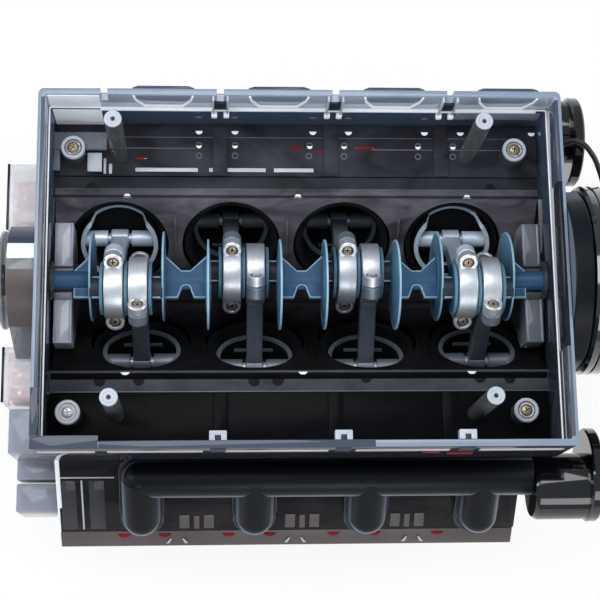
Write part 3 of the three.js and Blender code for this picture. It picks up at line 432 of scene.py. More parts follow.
class Effect(Enum):
    """The surface effects that several finishes share, each kept as one node group."""

    GRAIN = "moulded_grain"
    BRUSHED = "brushed_lines"
    WEAR_AND_SHEEN = "edge_wear"
    HAZE = "clear_haze"

    def group(self) -> bpy.types.NodeTree:
        """Returns the effect's node group, which is built once."""
        found = bpy.data.node_groups.get(self.value)
        if found is not None:
            return found
        tree = bpy.data.node_groups.new(self.value, "ShaderNodeTree")
        {Effect.GRAIN: self.grain, Effect.BRUSHED: self.brushed, Effect.WEAR_AND_SHEEN: self.wear_and_sheen,
         Effect.HAZE: self.haze}[self](tree)
        return tree

    @staticmethod
    def sockets(tree: bpy.types.NodeTree, inputs: dict[str, float], outputs: Sequence[str]) -> tuple:
        """Gives a group its named inputs and outputs, and returns the two nodes that hold them."""
        for name, value in inputs.items():
            tree.interface.new_socket(name, in_out="INPUT",
                                      socket_type="NodeSocketFloat").default_value = value
        for name in outputs:
            tree.interface.new_socket(name, in_out="OUTPUT", socket_type="NodeSocketFloat")
        return tree.nodes.new("NodeGroupInput"), tree.nodes.new("NodeGroupOutput")

    def grain(self, tree: bpy.types.NodeTree) -> None:
        """Fine moulded grain: a cloudy value and a height."""
        given, result = self.sockets(tree, {"Scale": 900.0, "Cloud Scale": 45.0}, ("Cloud", "Height"))
        wires = Wires(tree)
        place = wires.add("TexCoord").outputs["Object"]
        cloud = wires.add("TexNoise", {"Vector": place, "Scale": given.outputs["Cloud Scale"],
                                       "Detail": 3.0})
        fine = wires.add("TexNoise", {"Vector": place, "Scale": given.outputs["Scale"], "Detail": 2.0})
        tree.links.new(wires.span(cloud.outputs[0], 0.3, 0.7), result.inputs["Cloud"])
        tree.links.new(fine.outputs[0], result.inputs["Height"])

    def brushed(self, tree: bpy.types.NodeTree) -> None:
        """Fine lines that run round a ring, square to the crankshaft: a value and a height."""
        given, result = self.sockets(tree, {"Scale": 1.0}, ("Line", "Height"))
        wires = Wires(tree)
        place = wires.add("TexCoord").outputs["Object"]
        drawn = wires.add("Mapping", {"Vector": place, "Scale": (2600.0, 150.0, 150.0)})
        size = wires.add("VectorMath", {0: drawn.outputs[0]}, operation="SCALE")
        tree.links.new(given.outputs["Scale"], size.inputs["Scale"])
        line = wires.add("TexNoise", {"Vector": size.outputs[0], "Scale": 1.0, "Detail": 3.0})
        spots = wires.add("TexNoise", {"Vector": place, "Scale": 160.0, "Detail": 3.0})
        both = wires.sum("MULTIPLY_ADD", line.outputs[0], 0.6)
        tree.links.new(spots.outputs[0], both.node.inputs[2])
        tree.links.new(wires.span(both, 0.5, 1.1), result.inputs["Line"])
        tree.links.new(line.outputs[0], result.inputs["Height"])

    def wear_and_sheen(self, tree: bpy.types.NodeTree) -> None:
        """A mask that is strongest along outer edges, broken up by noise, for worn edges and painted edge
        highlights.
        """
        given, result = self.sockets(tree, {"Radius": 0.0004, "Strength": 1.0}, ("Mask",))
        wires = Wires(tree)
        soft = wires.add("Bevel", samples=6)
        tree.links.new(given.outputs["Radius"], soft.inputs["Radius"])
        plain = wires.add("NewGeometry").outputs["Normal"]
        match = wires.add("VectorMath", {0: soft.outputs[0], 1: plain},
                          operation="DOT_PRODUCT").outputs["Value"]
        edge = wires.span(match, 0.99, 0.8)
        place = wires.add("TexCoord").outputs["Object"]
        patch = wires.add("TexNoise", {"Vector": place, "Scale": 240.0, "Detail": 4.0}).outputs[0]
        broken = wires.sum("MULTIPLY", edge, wires.span(patch, 0.25, 0.6, 0.35, 1.0))
        tree.links.new(wires.sum("MULTIPLY", broken, given.outputs["Strength"], clamp=True),
                       result.inputs["Mask"])

    def haze(self, tree: bpy.types.NodeTree) -> None:
        """What dims a clear moulding, flow marks and faint scuffs, and a mask of its faces that point
        straight up or down, where painted light shows.
        """
        given, result = self.sockets(tree, {"Scale": 48.0}, ("Flow", "Scuff", "Edge"))
        wires = Wires(tree)
        place = wires.add("TexCoord").outputs["Object"]
        drawn = wires.add("Mapping", {"Vector": place, "Scale": (1.0, 1.6, 3.2)})
        flow = wires.add("TexNoise", {"Vector": drawn.outputs[0], "Scale": given.outputs["Scale"],
                                      "Detail": 2.0, "Distortion": 1.2})
        streak = wires.add("Mapping", {"Vector": place, "Scale": (180.0, 2400.0, 900.0),
                                       "Rotation": (0.3, 0.5, 0.7)})
        scuff = wires.add("TexNoise", {"Vector": streak.outputs[0], "Scale": 1.0, "Detail": 4.0})
        upright = wires.add("SeparateXYZ", {0: wires.add("NewGeometry").outputs["Normal"]}).outputs[2]
        tree.links.new(wires.span(flow.outputs[0], 0.3, 0.7), result.inputs["Flow"])
        tree.links.new(wires.span(scuff.outputs[0], 0.62, 0.8), result.inputs["Scuff"])
        tree.links.new(wires.span(wires.sum("ABSOLUTE", upright), 0.75, 0.98), result.inputs["Edge"])


@dataclass(frozen=True)
class Look:
    """What every finish has: a name, and a material that is built once.

    Attributes:
        name: the material's name.
    """

    name: str

    def material(self) -> bpy.types.Material:
        """Returns the material, which is built once."""
        found = bpy.data.materials.get(self.name)
        if found is not None:
            return found
        material = bpy.data.materials.new(self.name)
        material.use_nodes = True
        self.wire(Wires(material.node_tree), material.node_tree.nodes["Principled BSDF"].inputs)
        return material

    def wire(self, wires: Wires, shader: bpy.types.NodeInputs) -> None:
        """Joins the nodes of the finish to the shader's inputs."""
        raise NotImplementedError


@dataclass(frozen=True)
class Finish(Look):
    """A finish of moulded plastic or metal.

    Attributes:
        colour: its main colour.
        worn_and_lit: the colour of its worn edges, which is also a painted highlight along them.
        shade: how dark its cloudy patches go, as a share of the colour.
        roughness: its roughness where it is smoothest.
        uneven: how much rougher the patches are.
        metallic: how metallic it is.
        wear_and_sheen: how strongly its edges are worn and painted with a highlight.
        bump: how deep its grain is, in metres.
        coat: how strong its clear coat is.
        lines: true where the grain is brushed lines.
        gloss: how strongly it mirrors the room.
        glow: how much it glows, a painted light that lifts white marks in shade.
        glancing_sheen: the colour of a painted sheen on its outline, where it is looked at along its
            surface.
    """

    colour: Colour
    worn_and_lit: Colour = (0.5, 0.5, 0.5)
    shade: float = 0.8
    roughness: float = 0.35
    uneven: float = 0.12
    metallic: float = 0.0
    wear_and_sheen: float = 0.0
    bump: float = 0.00002
    coat: float = 0.0
    lines: bool = False
    gloss: float = 0.5
    glow: float = 0.0
    glancing_sheen: Optional[Colour] = None

    def wire(self, wires: Wires, shader: bpy.types.NodeInputs) -> None:
        """Joins the nodes of the finish to the shader's inputs."""
        link = wires.tree.links.new
        effect = Effect.BRUSHED if self.lines else Effect.GRAIN
        grain = wires.add("Group", node_tree=effect.group())
        cloud = grain.outputs["Line" if self.lines else "Cloud"]
        colour = wires.blend(cloud, [c * self.shade for c in self.colour], self.colour)
        # The edge mask paints worn edges and, with them, a painted highlight in a paler colour.
        if self.wear_and_sheen > 0:
            edge = wires.add("Group", node_tree=Effect.WEAR_AND_SHEEN.group())
            edge.inputs["Strength"].default_value = self.wear_and_sheen
            colour = wires.blend(edge.outputs["Mask"], colour, self.worn_and_lit)
        # Painted sheen: the outline, seen at a glancing angle, is painted paler.
        if self.glancing_sheen:
            glance = wires.add("LayerWeight", {"Blend": 0.5}).outputs["Facing"]
            colour = wires.blend(wires.span(glance, *GLANCING_SHEEN_SPAN), colour, self.glancing_sheen)
        link(colour, shader["Base Color"])
        link(wires.span(cloud, 0, 1, self.roughness + self.uneven, self.roughness), shader["Roughness"])
        # The emission is a painted glow, not a lamp: it lifts white marks in shade.
        link(colour, shader["Emission Color"])
        for key, value in (("Emission Strength", self.glow), ("Specular IOR Level", self.gloss),
                           ("Metallic", self.metallic), ("Coat Weight", self.coat),
                           ("Coat Roughness", 0.04)):
            shader[key].default_value = value
        relief = wires.add("Bump", {"Height": grain.outputs["Height"], "Distance": self.bump,
                                    "Strength": 0.5})
        link(relief.outputs[0], shader["Normal"])


@dataclass(frozen=True)
class Clear(Look):
    """A finish of clear tinted plastic.

    Attributes:
        tint: its colour where it is looked at square.
        rim: its colour at a glancing angle and on faces that point up, a painted sheen and painted light.
        veil: how much it hides where it is looked at square.
        edge: how much it hides at a glancing angle.
        top: how much more it hides, and how much of its rim colour is painted on as light, on faces that
            point up.
        roughness: its roughness.
        gloss: how strongly it mirrors the room.
        cloud: how dark its cloudy patches go.
        fade: painted shade across it, and painted light where the share is above 1: the share of
        its colour left in front, and the two places across, in metres, between which it changes.
    """

    tint: Colour
    rim: Colour = (0.55, 0.62, 0.7)
    veil: float = 0.25
    edge: float = 0.85
    top: float = 0.0
    roughness: float = 0.06
    gloss: float = 0.6
    cloud: float = 0.0
    fade: tuple[float, float, float] = (1.0, -0.05, 0.05)

    def wire(self, wires: Wires, shader: bpy.types.NodeInputs) -> None:
        """Joins the nodes of the finish to the shader's inputs."""
        link = wires.tree.links.new
        haze = wires.add("Group", node_tree=Effect.HAZE.group())
        # Glancing faces and faces that point up are painted in the paler rim colour: painted sheen and
        # painted light.
        glance = wires.add("LayerWeight", {"Blend": PALE_BLEND}).outputs["Facing"]
        steep = wires.span(wires.sum("POWER", glance, PALE_POWER), 0, 1)
        painted_top_light = wires.sum("MULTIPLY", haze.outputs["Edge"], self.top)
        pale = wires.sum("MAXIMUM", steep, painted_top_light, clamp=True)
        hides = wires.span(pale, 0, 1, self.veil, self.edge)
        flow = wires.sum("MULTIPLY", haze.outputs["Flow"], 0.1)
        scuff = wires.sum("MULTIPLY", haze.outputs["Scuff"], 0.12)
        whole = wires.sum("ADD", wires.sum("ADD", hides, flow), scuff, clamp=True)
        colour = wires.blend(pale, self.tint, self.rim)
        # Painted shade across the part: its colour darkens towards the front; a share above 1 paints light
        # instead.
        share, front, back = self.fade
        if share != 1:
            across = wires.add("SeparateXYZ", {0: wires.add("TexCoord").outputs["Object"]}).outputs[1]
            painted_shade_colour = wires.blend(pale, [c * share for c in self.tint], [c * share for c in self.rim])
            colour = wires.blend(wires.span(across, front, back), painted_shade_colour, colour)
        if self.cloud:
            colour = wires.blend(wires.sum("MULTIPLY", haze.outputs["Flow"], self.cloud), colour,
                                 CLOUD_BLACK)
        link(colour, shader["Base Color"])
        link(whole, shader["Alpha"])
        link(wires.span(haze.outputs["Scuff"], 0, 1, self.roughness, self.roughness + 0.25),
             shader["Roughness"])
        shader["IOR"].default_value = ACRYLIC_IOR
        shader["Specular IOR Level"].default_value = self.gloss


SLATE = Finish("slate_blue", (0.03, 0.102, 0.21), (0.24, 0.46, 0.66), wear_and_sheen=0.9, roughness=0.38, gloss=0.25)
NAVY = Finish("navy_shade", (0.008, 0.018, 0.034), (0.03, 0.05, 0.08), roughness=0.5, wear_and_sheen=0.3)
DISC = Finish("web_blue", (0.07, 0.185, 0.29), (0.4, 0.6, 0.74), wear_and_sheen=0.9, roughness=0.36, gloss=0.3)
# Pale blue for the crankshaft's edge rings, gusset edges and pin lines: painted highlights.
ICE_HIGHLIGHT = Finish("ice_blue_painted_highlight", (0.25, 0.46, 0.61), (0.66, 0.8, 0.88), roughness=0.3, wear_and_sheen=0.6, shade=0.75)
SILVER = Finish("brushed_silver", (0.66, 0.7, 0.76), (0.9, 0.93, 0.96), metallic=0.7, roughness=0.34,
                wear_and_sheen=0.6, lines=True, shade=0.7)
BRIGHT = Finish("bright_silver", (0.56, 0.6, 0.66), (0.9, 0.92, 0.95), metallic=0.5, roughness=0.32,
                wear_and_sheen=0.6, lines=True, shade=0.85)
# Lit and shaded copies of the piston rims' metal: painted light on the rear outer rims, painted half shade
# on the front ones and painted shade on the middle rear ones.
PISTON_RIM_LIT = Finish("piston_rim", (0.66, 0.78, 0.92), (0.86, 0.92, 0.97), metallic=0.3, roughness=0.33,
                   wear_and_sheen=0.5)
PISTON_RIM_HALF_SHADED = Finish("piston_rim_painted_half_shade", (0.22, 0.255, 0.3), (0.5, 0.55, 0.6), metallic=0.35, roughness=0.36,
                   wear_and_sheen=0.6)
PISTON_RIM_SHADED = Finish("piston_rim_painted_shade", (0.12, 0.14, 0.165), (0.34, 0.38, 0.42), metallic=0.3, roughness=0.4,
                    wear_and_sheen=0.6)
# Near black for the piston's body: painted shadow in the cup.
PISTON_SHADOW = Finish("piston_painted_shadow", (0.006, 0.007, 0.009), (0.02, 0.022, 0.026), roughness=0.6, wear_and_sheen=0.1,
              gloss=0.2)
ROD = Finish("rod_grey", (0.185, 0.22, 0.27), (0.55, 0.62, 0.7), metallic=0.4, roughness=0.36, wear_and_sheen=0.8,
             shade=0.7, lines=True)
# A lit copy of the rod grey: painted light on the rods that catch it.
ROD_LIT = Finish("rod_grey_painted_lit", (0.54, 0.62, 0.73), (0.78, 0.84, 0.9), metallic=0.3, roughness=0.36,
                   wear_and_sheen=0.7, lines=True)
BRASS = Finish("screw_brass", (0.3, 0.22, 0.14), (0.92, 0.84, 0.7), metallic=0.6, roughness=0.3, wear_and_sheen=1.0)
STEEL = Finish("screw_steel", (0.6, 0.6, 0.6), (0.92, 0.92, 0.92), metallic=0.7, roughness=0.3, wear_and_sheen=0.8)
# Near black discs in holes and recesses: painted shade.
HOLE_SHADE = Finish("hole_painted_shade", (0.004, 0.004, 0.005), (0.012, 0.012, 0.014), roughness=0.6, wear_and_sheen=0.2, gloss=0.2)
LINER = Finish("liner_black", (0.005, 0.0055, 0.007), (0.03, 0.034, 0.04), roughness=0.45, wear_and_sheen=0.3,
               gloss=0.25)
# The gloss black parts carry a painted sheen on their outlines.
GLOSS = Finish("gloss_black", (0.004, 0.0055, 0.009), (0.02, 0.024, 0.03), roughness=0.36, uneven=0.06,
               bump=0.000004, gloss=0.16, glancing_sheen=(0.17, 0.2, 0.26))
SHINY = Finish("shiny_black", (0.004, 0.0045, 0.006), (0.03, 0.032, 0.036), roughness=0.07, uneven=0.03,
               coat=0.5, bump=0.000002, gloss=0.4)
POLISHED = Finish("polished_black", (0.004, 0.005, 0.007), (0.02, 0.024, 0.03), roughness=0.1, uneven=0.03,
                  coat=1.0, bump=0.000002, gloss=0.6)
RED = Finish("signal_red", (0.5, 0.012, 0.02), (0.8, 0.25, 0.22), roughness=0.25, wear_and_sheen=0.4, coat=0.4)
DULL_RED = Finish("shaded_red", (0.24, 0.005, 0.012), (0.35, 0.02, 0.03), roughness=0.4, wear_and_sheen=0.5,
                  shade=0.6, gloss=0.1)
BROWN = Finish("shaded_pink", (0.085, 0.066, 0.068), (0.16, 0.13, 0.13), roughness=0.4, wear_and_sheen=0.4)
SMOKE_GREY = Finish("smoke_grey", (0.2, 0.215, 0.24), (0.55, 0.6, 0.66), roughness=0.16, wear_and_sheen=0.6, coat=0.5)
FROST = Finish("frosted_clear", (0.45, 0.49, 0.56), (0.8, 0.84, 0.9), roughness=0.3, wear_and_sheen=0.9)
# The pale finish glows a little: a painted light on white marks, edges and hubs in shade.
PALE = Finish("pale_plastic_painted_glow", (0.8, 0.82, 0.86), (0.95, 0.95, 0.96), roughness=0.35, wear_and_sheen=0.3, shade=0.9,
              glow=0.25)
PINKISH = Finish("pinkish_white", (0.62, 0.55, 0.58), (0.8, 0.75, 0.78), roughness=0.35, wear_and_sheen=0.3,
                 shade=0.7)
DIM = Finish("dim_line", (0.085, 0.09, 0.1), (0.16, 0.17, 0.18), roughness=0.4, wear_and_sheen=0.3)
CABLE = Finish("cable_black", (0.012, 0.012, 0.014), (0.05, 0.05, 0.05), roughness=0.38)
# The walls, the foot, the block and the floor are painted darker towards the front: painted shade.
WALL = Clear("clear_wall", (0.42, 0.49, 0.6), rim=(0.55, 0.62, 0.72), veil=0.78, edge=0.92, top=0.2,
             fade=(0.2, 0.0, 0.057))
# White with a glow, for the bright corner, the head's edge line and the timing band: painted highlight and
# painted light.
HIGHLIGHT_WHITE = Finish("painted_highlight_white", (0.8, 0.84, 0.9), (0.95, 0.96, 0.98), roughness=0.3, wear_and_sheen=0.3, glow=0.2)
FOOT = Clear("navy_clear", (0.034, 0.056, 0.098), (0.09, 0.13, 0.18), veil=0.85, edge=0.95, gloss=0.3,
             fade=(0.3, 0.0, 0.055))
BLOCK = Clear("dark_clear", (0.15, 0.142, 0.17), (0.16, 0.16, 0.19), veil=0.97, edge=0.98, gloss=0.03,
              roughness=0.24, fade=(0.06, -0.012, 0.03), cloud=0.65)
FLOOR = Clear("floor_clear", (0.042, 0.044, 0.056), (0.07, 0.074, 0.09), veil=0.97, edge=0.98, gloss=0.03,
              roughness=0.24, fade=(0.12, -0.02, 0.03), cloud=0.65)
CASE = Clear("smoke_clear", (0.05, 0.055, 0.066), (0.4, 0.46, 0.54), veil=0.4, edge=0.8, top=0.2)
HEAD = Clear("brown_clear", (0.022, 0.019, 0.021), (0.12, 0.125, 0.14), veil=0.84, edge=0.92, gloss=0.08,
             cloud=0.7)
DRUM = Clear("smoke_drum", (0.15, 0.155, 0.17), (0.42, 0.45, 0.5), veil=0.8, edge=0.9, gloss=0.5, top=0.2)
WHITE_BOX = Clear("white_clear", (0.93, 0.94, 0.98), (0.3, 0.31, 0.35), veil=0.28, edge=0.9, gloss=0.6)
GREY_BOX = Clear("grey_clear", (0.3, 0.33, 0.4), (0.16, 0.17, 0.2), veil=0.7, edge=0.9, gloss=0.4)
SHELF = Clear("shelf_clear", (0.16, 0.185, 0.22), rim=(0.4, 0.45, 0.52), veil=0.6, edge=0.8, gloss=0.1)
POST = Clear("post_clear", (0.085, 0.088, 0.095), rim=(0.2, 0.21, 0.23), veil=0.38, edge=0.6, gloss=0.25)
TAB = Clear("pedestal_clear", (0.4, 0.42, 0.5), rim=(0.6, 0.64, 0.72), veil=0.75, edge=0.9, top=0.3,
            gloss=0.6)
# A shaded copy of the pedestal's clear: painted shade on the rear pedestal.
TAB_SHADED = Clear("pedestal_painted_shade", (0.11, 0.12, 0.145), rim=(0.34, 0.38, 0.45), veil=0.8, edge=0.9, top=0.1,
                 gloss=0.3)
# The rails are painted lighter in front: painted light.
RAIL = Clear("rail_clear", (0.034, 0.038, 0.046), (0.09, 0.1, 0.12), veil=0.95, edge=0.97, gloss=0.04,
             roughness=0.35, fade=(2.2, -0.02, 0.02), cloud=0.6)
# Lit and shaded copies of the rim's clear: painted light and painted shade on rims, pads, pockets, linings
# and bands.
RIM_LIT = Clear("rim_painted_light", (0.2, 0.25, 0.335), rim=(0.42, 0.49, 0.6), veil=0.85, edge=0.95, top=0.15,
            gloss=0.4)
RIM_HALF_SHADED = Clear("rim_painted_half_shade", (0.085, 0.09, 0.115), rim=(0.25, 0.28, 0.34), veil=0.88, edge=0.95, top=0.1,
                gloss=0.3)
RIM_SHADED = Clear("rim_painted_shade", (0.035, 0.045, 0.07), rim=(0.14, 0.17, 0.23), veil=0.92, edge=0.97, top=0.2,
                 gloss=0.3)
SHADE = Clear("shaded_wall", (0.011, 0.0125, 0.018), rim=(0.04, 0.045, 0.06), veil=0.93, edge=0.97,
              gloss=0.2)
# Black whose edges turn pale: a painted highlight on the edges.
EDGED = Finish("edged_black", (0.006, 0.006, 0.008), (0.4, 0.46, 0.54), roughness=0.3, wear_and_sheen=1.0, gloss=0.3)


def pin_sign(index: int) -> int:
    """The outer crank pins stand on one side of the crank, and the inner two on the other."""
    return 1 if index in (0, 3) else -1


def throw(index: int, reach: float) -> tuple[float, float]:
    """The place of a crank pin across and up, at a distance from the crank's middle."""
    return -pin_sign(index) * reach * math.sin(CRANK_REST), pin_sign(index) * reach * math.cos(CRANK_REST)


def gear_outline(teeth: int, phase: float, z: float) -> list[Point]:
    """Points of a gear with plain tapered teeth, whose middle is at a height over the crankshaft."""
    points = []
    tip = teeth * GEAR_MODULE / 2 + 0.75 * GEAR_MODULE
    root = teeth * GEAR_MODULE / 2 - 1.15 * GEAR_MODULE
    step = 2 * math.pi / teeth
    for tooth in range(teeth):
        for radius, share in ((root, -0.26), (tip, -0.1), (tip, 0.1), (root, 0.26)):
            angle = phase + (tooth + share) * step
            points.append((radius * math.cos(angle), z + radius * math.sin(angle)))
    return points


@dataclass
class ScrewHead:
    """A round cross-head screw, seen from above.

    Attributes:
        radius: the head's radius.
        height: how far it is domed.
        arm: half the length of its cross.
        slot: half the width of its cross.
        depth: how deep the cross goes.
        foot: how high its upright side is.
        store: its mesh, once it is built.
    """

    radius: float = 2.3
    height: float = 0.9
    arm: float = 1.35
    slot: float = 0.3
    depth: float = 0.75
    foot: float = 0.12
    store: Optional[bpy.types.Mesh] = None

    def head(self) -> bpy.types.Mesh:
        """Returns the head's mesh, with its foot at the origin, which is built once."""
        if self.store is None:
            dome = [(0, -0.4), (self.radius, -0.4), (self.radius, self.foot)]
            dome += [(self.radius * u, self.foot + self.height * v) for u, v in arc(1, 12, 84, steps=6)]
            dome.append((0, self.foot + self.height))
            cross = Shape()
            a, s = self.arm, self.slot
            cross.plate([(-a, -s), (-s, -s), (-s, -a), (s, -a), (s, -s), (a, -s), (a, s), (s, s), (s, a),
                         (-s, a), (-s, s), (-a, s)], self.height + self.foot - self.depth, self.height + 1,
                        bevel=0)
            shape = Shape().spun(dome, steps=32).cut(cross)
            self.store = bpy.data.meshes.new("screw_head")
            shape.mesh.to_mesh(self.store)
            shape.mesh.free()
        return self.store


@dataclass
class CrankTrain:
    """The crankshaft, its pulley and flywheel, and the camshaft under it."""

    shaft: float = 3.3
    pin: float = 4.0
    journal: float = 5.9
    collar: float = 9.0
    collar_half: float = 0.5
    collar_offset: float = 8.2
    web_offset: float = 12.3
    web_half: float = 1.0
    web_edge: float = 0.34
    web: float = 15.6
    web_shift: float = 4.0
    gusset_half: float = 1.3
    left: float = -104.5
    right: float = 103.0
    gear_start: float = -96.8
    gear_width: float = 4.0
    pulley_start: float = -109.5
    pulley_width: float = 8.5
    pulley: float = 17.0
    wheel_start: float = 96.0
    wheel_width: float = 8.0
    wheel: float = 33.0

    def build(self) -> None:
        """Builds all four and puts each on its body."""
        self.crankshaft()
        self.crank_pulley()
        self.flywheel()
        self.camshaft()

    def crankshaft(self) -> None:
        """The shaft: four pins with journals and collars between round webs, stiffened by flat gussets,
        with pale painted highlights along their edges.
        """
        shape, pins, edges, discs = Shape(), Shape(), Shape(), Shape()
        centres = [(i - 1.5) * BORE_SPACING for i in CYLINDERS]
        for i, x in enumerate(centres):
            y, z = throw(i, CRANK_THROW)
            place = at(x, y, z)
            pins.bar(self.pin, -self.web_offset, self.web_offset, place @ TURN_X, bevel=0)
            shape.spun(self.throw_profile(), place @ TURN_X, steps=64)
            for offset in (-self.collar_offset, 0, self.collar_offset):
                discs.spun(self.hoop(self.collar, self.collar_half, offset), place @ TURN_X, steps=64,
                           closed=True)
            shift_y, shift_z = throw(i, -self.web_shift)
            for end in BOTH:
                disc = at(x + end * self.web_offset, shift_y, shift_z) @ TURN_X
                discs.spun(self.web_profile(end), disc, steps=128)
                # A pale ring round each web: painted highlight.
                edges.spun(self.hoop(self.web, self.web_edge, 0), disc, steps=128, closed=True)
                start, stop = sorted((end * (self.collar_offset + 0.6), end * (self.web_offset - 0.75)))
                # A thin pale bar along each side of the pin: painted highlight.
                for side in BOTH:
                    edges.bar(0.42, start, stop, at(x, y + side * 3.45, z + 2.0) @ TURN_X, bevel=0.1,
                              sides=16)
        face = self.web_offset + self.web_half / 2
        for start, end in ((self.left, centres[0] - self.web_offset),
                           (centres[-1] + self.web_offset, self.right)):
            shape.bar(self.shaft, start, end, TURN_X, bevel=0.3)
        ridge = [(self.shaft * u, 1.45 * v) for u, v in arc(1, 0, 360, steps=24)[1:]]
        gaps = [(a + face, b - face) for a, b in zip(centres, centres[1:])]
        for a, b in gaps:
            shape.plate(ridge, a, b, SIDEWAYS, bevel=0)
        half = self.gusset_half
        # Each gusset is drawn full size in pale blue, a painted highlight round its edge, and inset in
        # slate.
        for target, inset, reach, bevel in ((edges, 0, half - 0.04, 0.1), (shape, 0.38, half, 0.15)):
            outlines = [self.gusset(a, b, inset) for a, b in gaps]
            outlines.append(self.end_gusset(centres[0] - face, -1, inset))
            outlines.append(self.end_gusset(centres[-1] + face, 1, inset))
            for outline in outlines:
                target.plate(outline, -reach, reach, bevel=bevel)
        shape.piece("crankshaft_dressed", SLATE, "crank", ["crankshaft"], "slate_blue_plastic")
        discs.piece("crank_webs", DISC, "crank", slot="slate_blue_plastic")
        pins.piece("crank_pins", NAVY, "crank", slot="slate_blue_plastic")
        edges.piece("crank_edge_highlights", ICE_HIGHLIGHT, "crank", slot="slate_blue_plastic")

    @staticmethod
    def hoop(radius: float, half: float, offset: float) -> list[Point]:
        """The profile of a thin ring at a disc's edge, used for the collars and for the painted highlight
        round each web.
        """
        low, high, inner = offset - half, offset + half, radius - 0.5
        return [(inner, low), (radius - 0.15, low), (radius, low + 0.15), (radius, high - 0.15),
                (radius - 0.15, high), (inner, high)]

    def throw_profile(self) -> list[Point]:
        """The profile of one journal with its three thin collars."""
        half, edge = self.collar_half - 0.05, self.collar - 0.4
        points = [(0, -self.collar_offset - half)]
        for offset in (-self.collar_offset, 0, self.collar_offset):
            if offset > -1:
                points.append((self.journal, offset - half))
            points += [(edge, offset - half), (edge, offset + half)]
            if offset < 1:
                points.append((self.journal, offset + half))
        return points + [(0, self.collar_offset + half)]

    def web_profile(self, end: int) -> list[Point]:
        """The profile of a web: a disc that thins towards its edge, with a shallow ring outside."""
        h, edge = self.web_half, self.web - 0.35
        points = [(0, -h), (5, -h), (edge, 0.04 - self.web_edge), (edge, self.web_edge - 0.04),
                  (12.6, 0.48 * h), (12.4, 0.3 * h), (9.6, 0.5 * h), (9.4, 0.7 * h), (5, h), (0, h)]
        return points if end > 0 else [(r, -z) for r, z in reversed(points)]

    @staticmethod
    def gusset(x0: float, x1: float, inset: float) -> list[Point]:
        """The outline of a gusset between two webs, notched below, at a distance inside its own edge."""
        middle = (x0 + x1) / 2
        foot = inset - 6.4
        high, low = 8.6 - 1.5 * inset, 3.3 - inset
        notch = arc(1.67 + inset, 0, 180, middle, -3.6, 8)
        return [(x0, high), (x0 + 5.6, low), (x1 - 5.6, low), (x1, high), (x1, foot),
                (middle + 2.7 + inset, foot)] + notch + [(middle - 2.7 - inset, foot), (x0, foot)]

    @staticmethod
    def end_gusset(x: float, end: int, inset: float) -> list[Point]:
        """The outline of the half gusset outside an end web, at a distance inside its own edge."""
        foot, reach = inset - 6.4, end * (5.6 - inset)
        return [(x, 8.6 - 1.5 * inset), (x + reach, 3.3 - inset), (x + reach, -3.3), (x + reach, foot),
                (x, foot)]

    def crank_pulley(self) -> None:
        """The belt pulley with the small timing gear on its hub."""
        start, end = self.pulley_start, self.pulley_start + self.pulley_width
        gear_end = self.gear_start + self.gear_width
        r, hub = self.pulley, self.shaft + 0.3
        low = r - 2.6
        profile = [(hub, start + 2), (5.2, start + 2), (5.6, start + 1.2), (7.4, start + 1.2),
                   (7.8, start + 2), (11, start + 2), (12.6, start + 0.2), (13, start), (r - 0.4, start),
                   (r, start + 0.4), (r, start + 1.2), (low, start + 2.8), (low, end - 2.8), (r, end - 1.2),
                   (r, end - 0.4), (r - 0.4, end), (6, end), (5.4, end + 0.6), (5.4, gear_end),
                   (hub, gear_end)]
        shape = Shape().spun(profile, TURN_X, steps=96, closed=True)
        shape.plate(gear_outline(16, -math.pi / 2, 0), self.gear_start, gear_end, SIDEWAYS, bevel=0.2)
        shape.piece("crank_pulley_dressed", SMOKE_GREY, "crank", ["crank_pulley"], "smoke_grey_plastic")

    def flywheel(self) -> None:
        """The flywheel: a black drum, dished on its inner face, with a ring of bolts on its outer one."""
        start, end = self.wheel_start, self.wheel_start + self.wheel_width
        r = self.wheel
        profile = [(self.shaft + 0.3, start + 2), (26, start + 2), (26, start + 0.3), (26.3, start),
                   (r - 1, start), (r, start + 1), (r, start + 2.6), (r - 0.5, start + 3),
                   (r - 0.5, start + 3.4), (r, start + 3.8), (r, end - 1), (r - 1, end), (r - 4, end),
                   (r - 4.6, end - 0.7), (12, end - 0.7), (11.4, end), (self.shaft + 0.3, end)]
        shape = Shape().spun(profile, TURN_X, steps=128, closed=True)
        for turn in range(6):
            angle = math.radians(60 * turn)
            shape.bar(1.5, end - 0.8, end - 0.1, at(0, 19 * math.cos(angle), 19 * math.sin(angle)) @ TURN_X,
                      sides=6)
        shape.piece("flywheel_dressed", POLISHED, "crank", ["flywheel"], "gloss_black_plastic")

    def camshaft(self) -> None:
        """The camshaft with its large timing gear and an egg-shaped cam for each cylinder."""
        shape = Shape().bar(3.4, self.gear_start, 84, at(0, 0, CAM_DROP) @ TURN_X)
        outline = gear_outline(32, math.pi / 2 + math.pi / 32, CAM_DROP)
        shape.plate(outline, self.gear_start, self.gear_start + self.gear_width, SIDEWAYS, bevel=0.2)
        for bank in Bank:
            for i in CYLINDERS:
                angle = math.pi / 2 * (i + (bank.value + 1) / 4)
                lean = math.degrees(angle)
                egg = arc(4.2, lean + 63, lean + 297, 0, CAM_DROP, 20)
                egg += arc(2.4, lean - 63, lean + 63, 3.5 * math.cos(angle),
                           CAM_DROP + 3.5 * math.sin(angle), 10)
                x = bank.cylinder(i)
                shape.plate(egg, x - 1.8, x + 1.8, SIDEWAYS, bevel=0.2)
        shape.piece("camshaft_dressed", SLATE, "cam", ["camshaft"], "slate_blue_plastic")


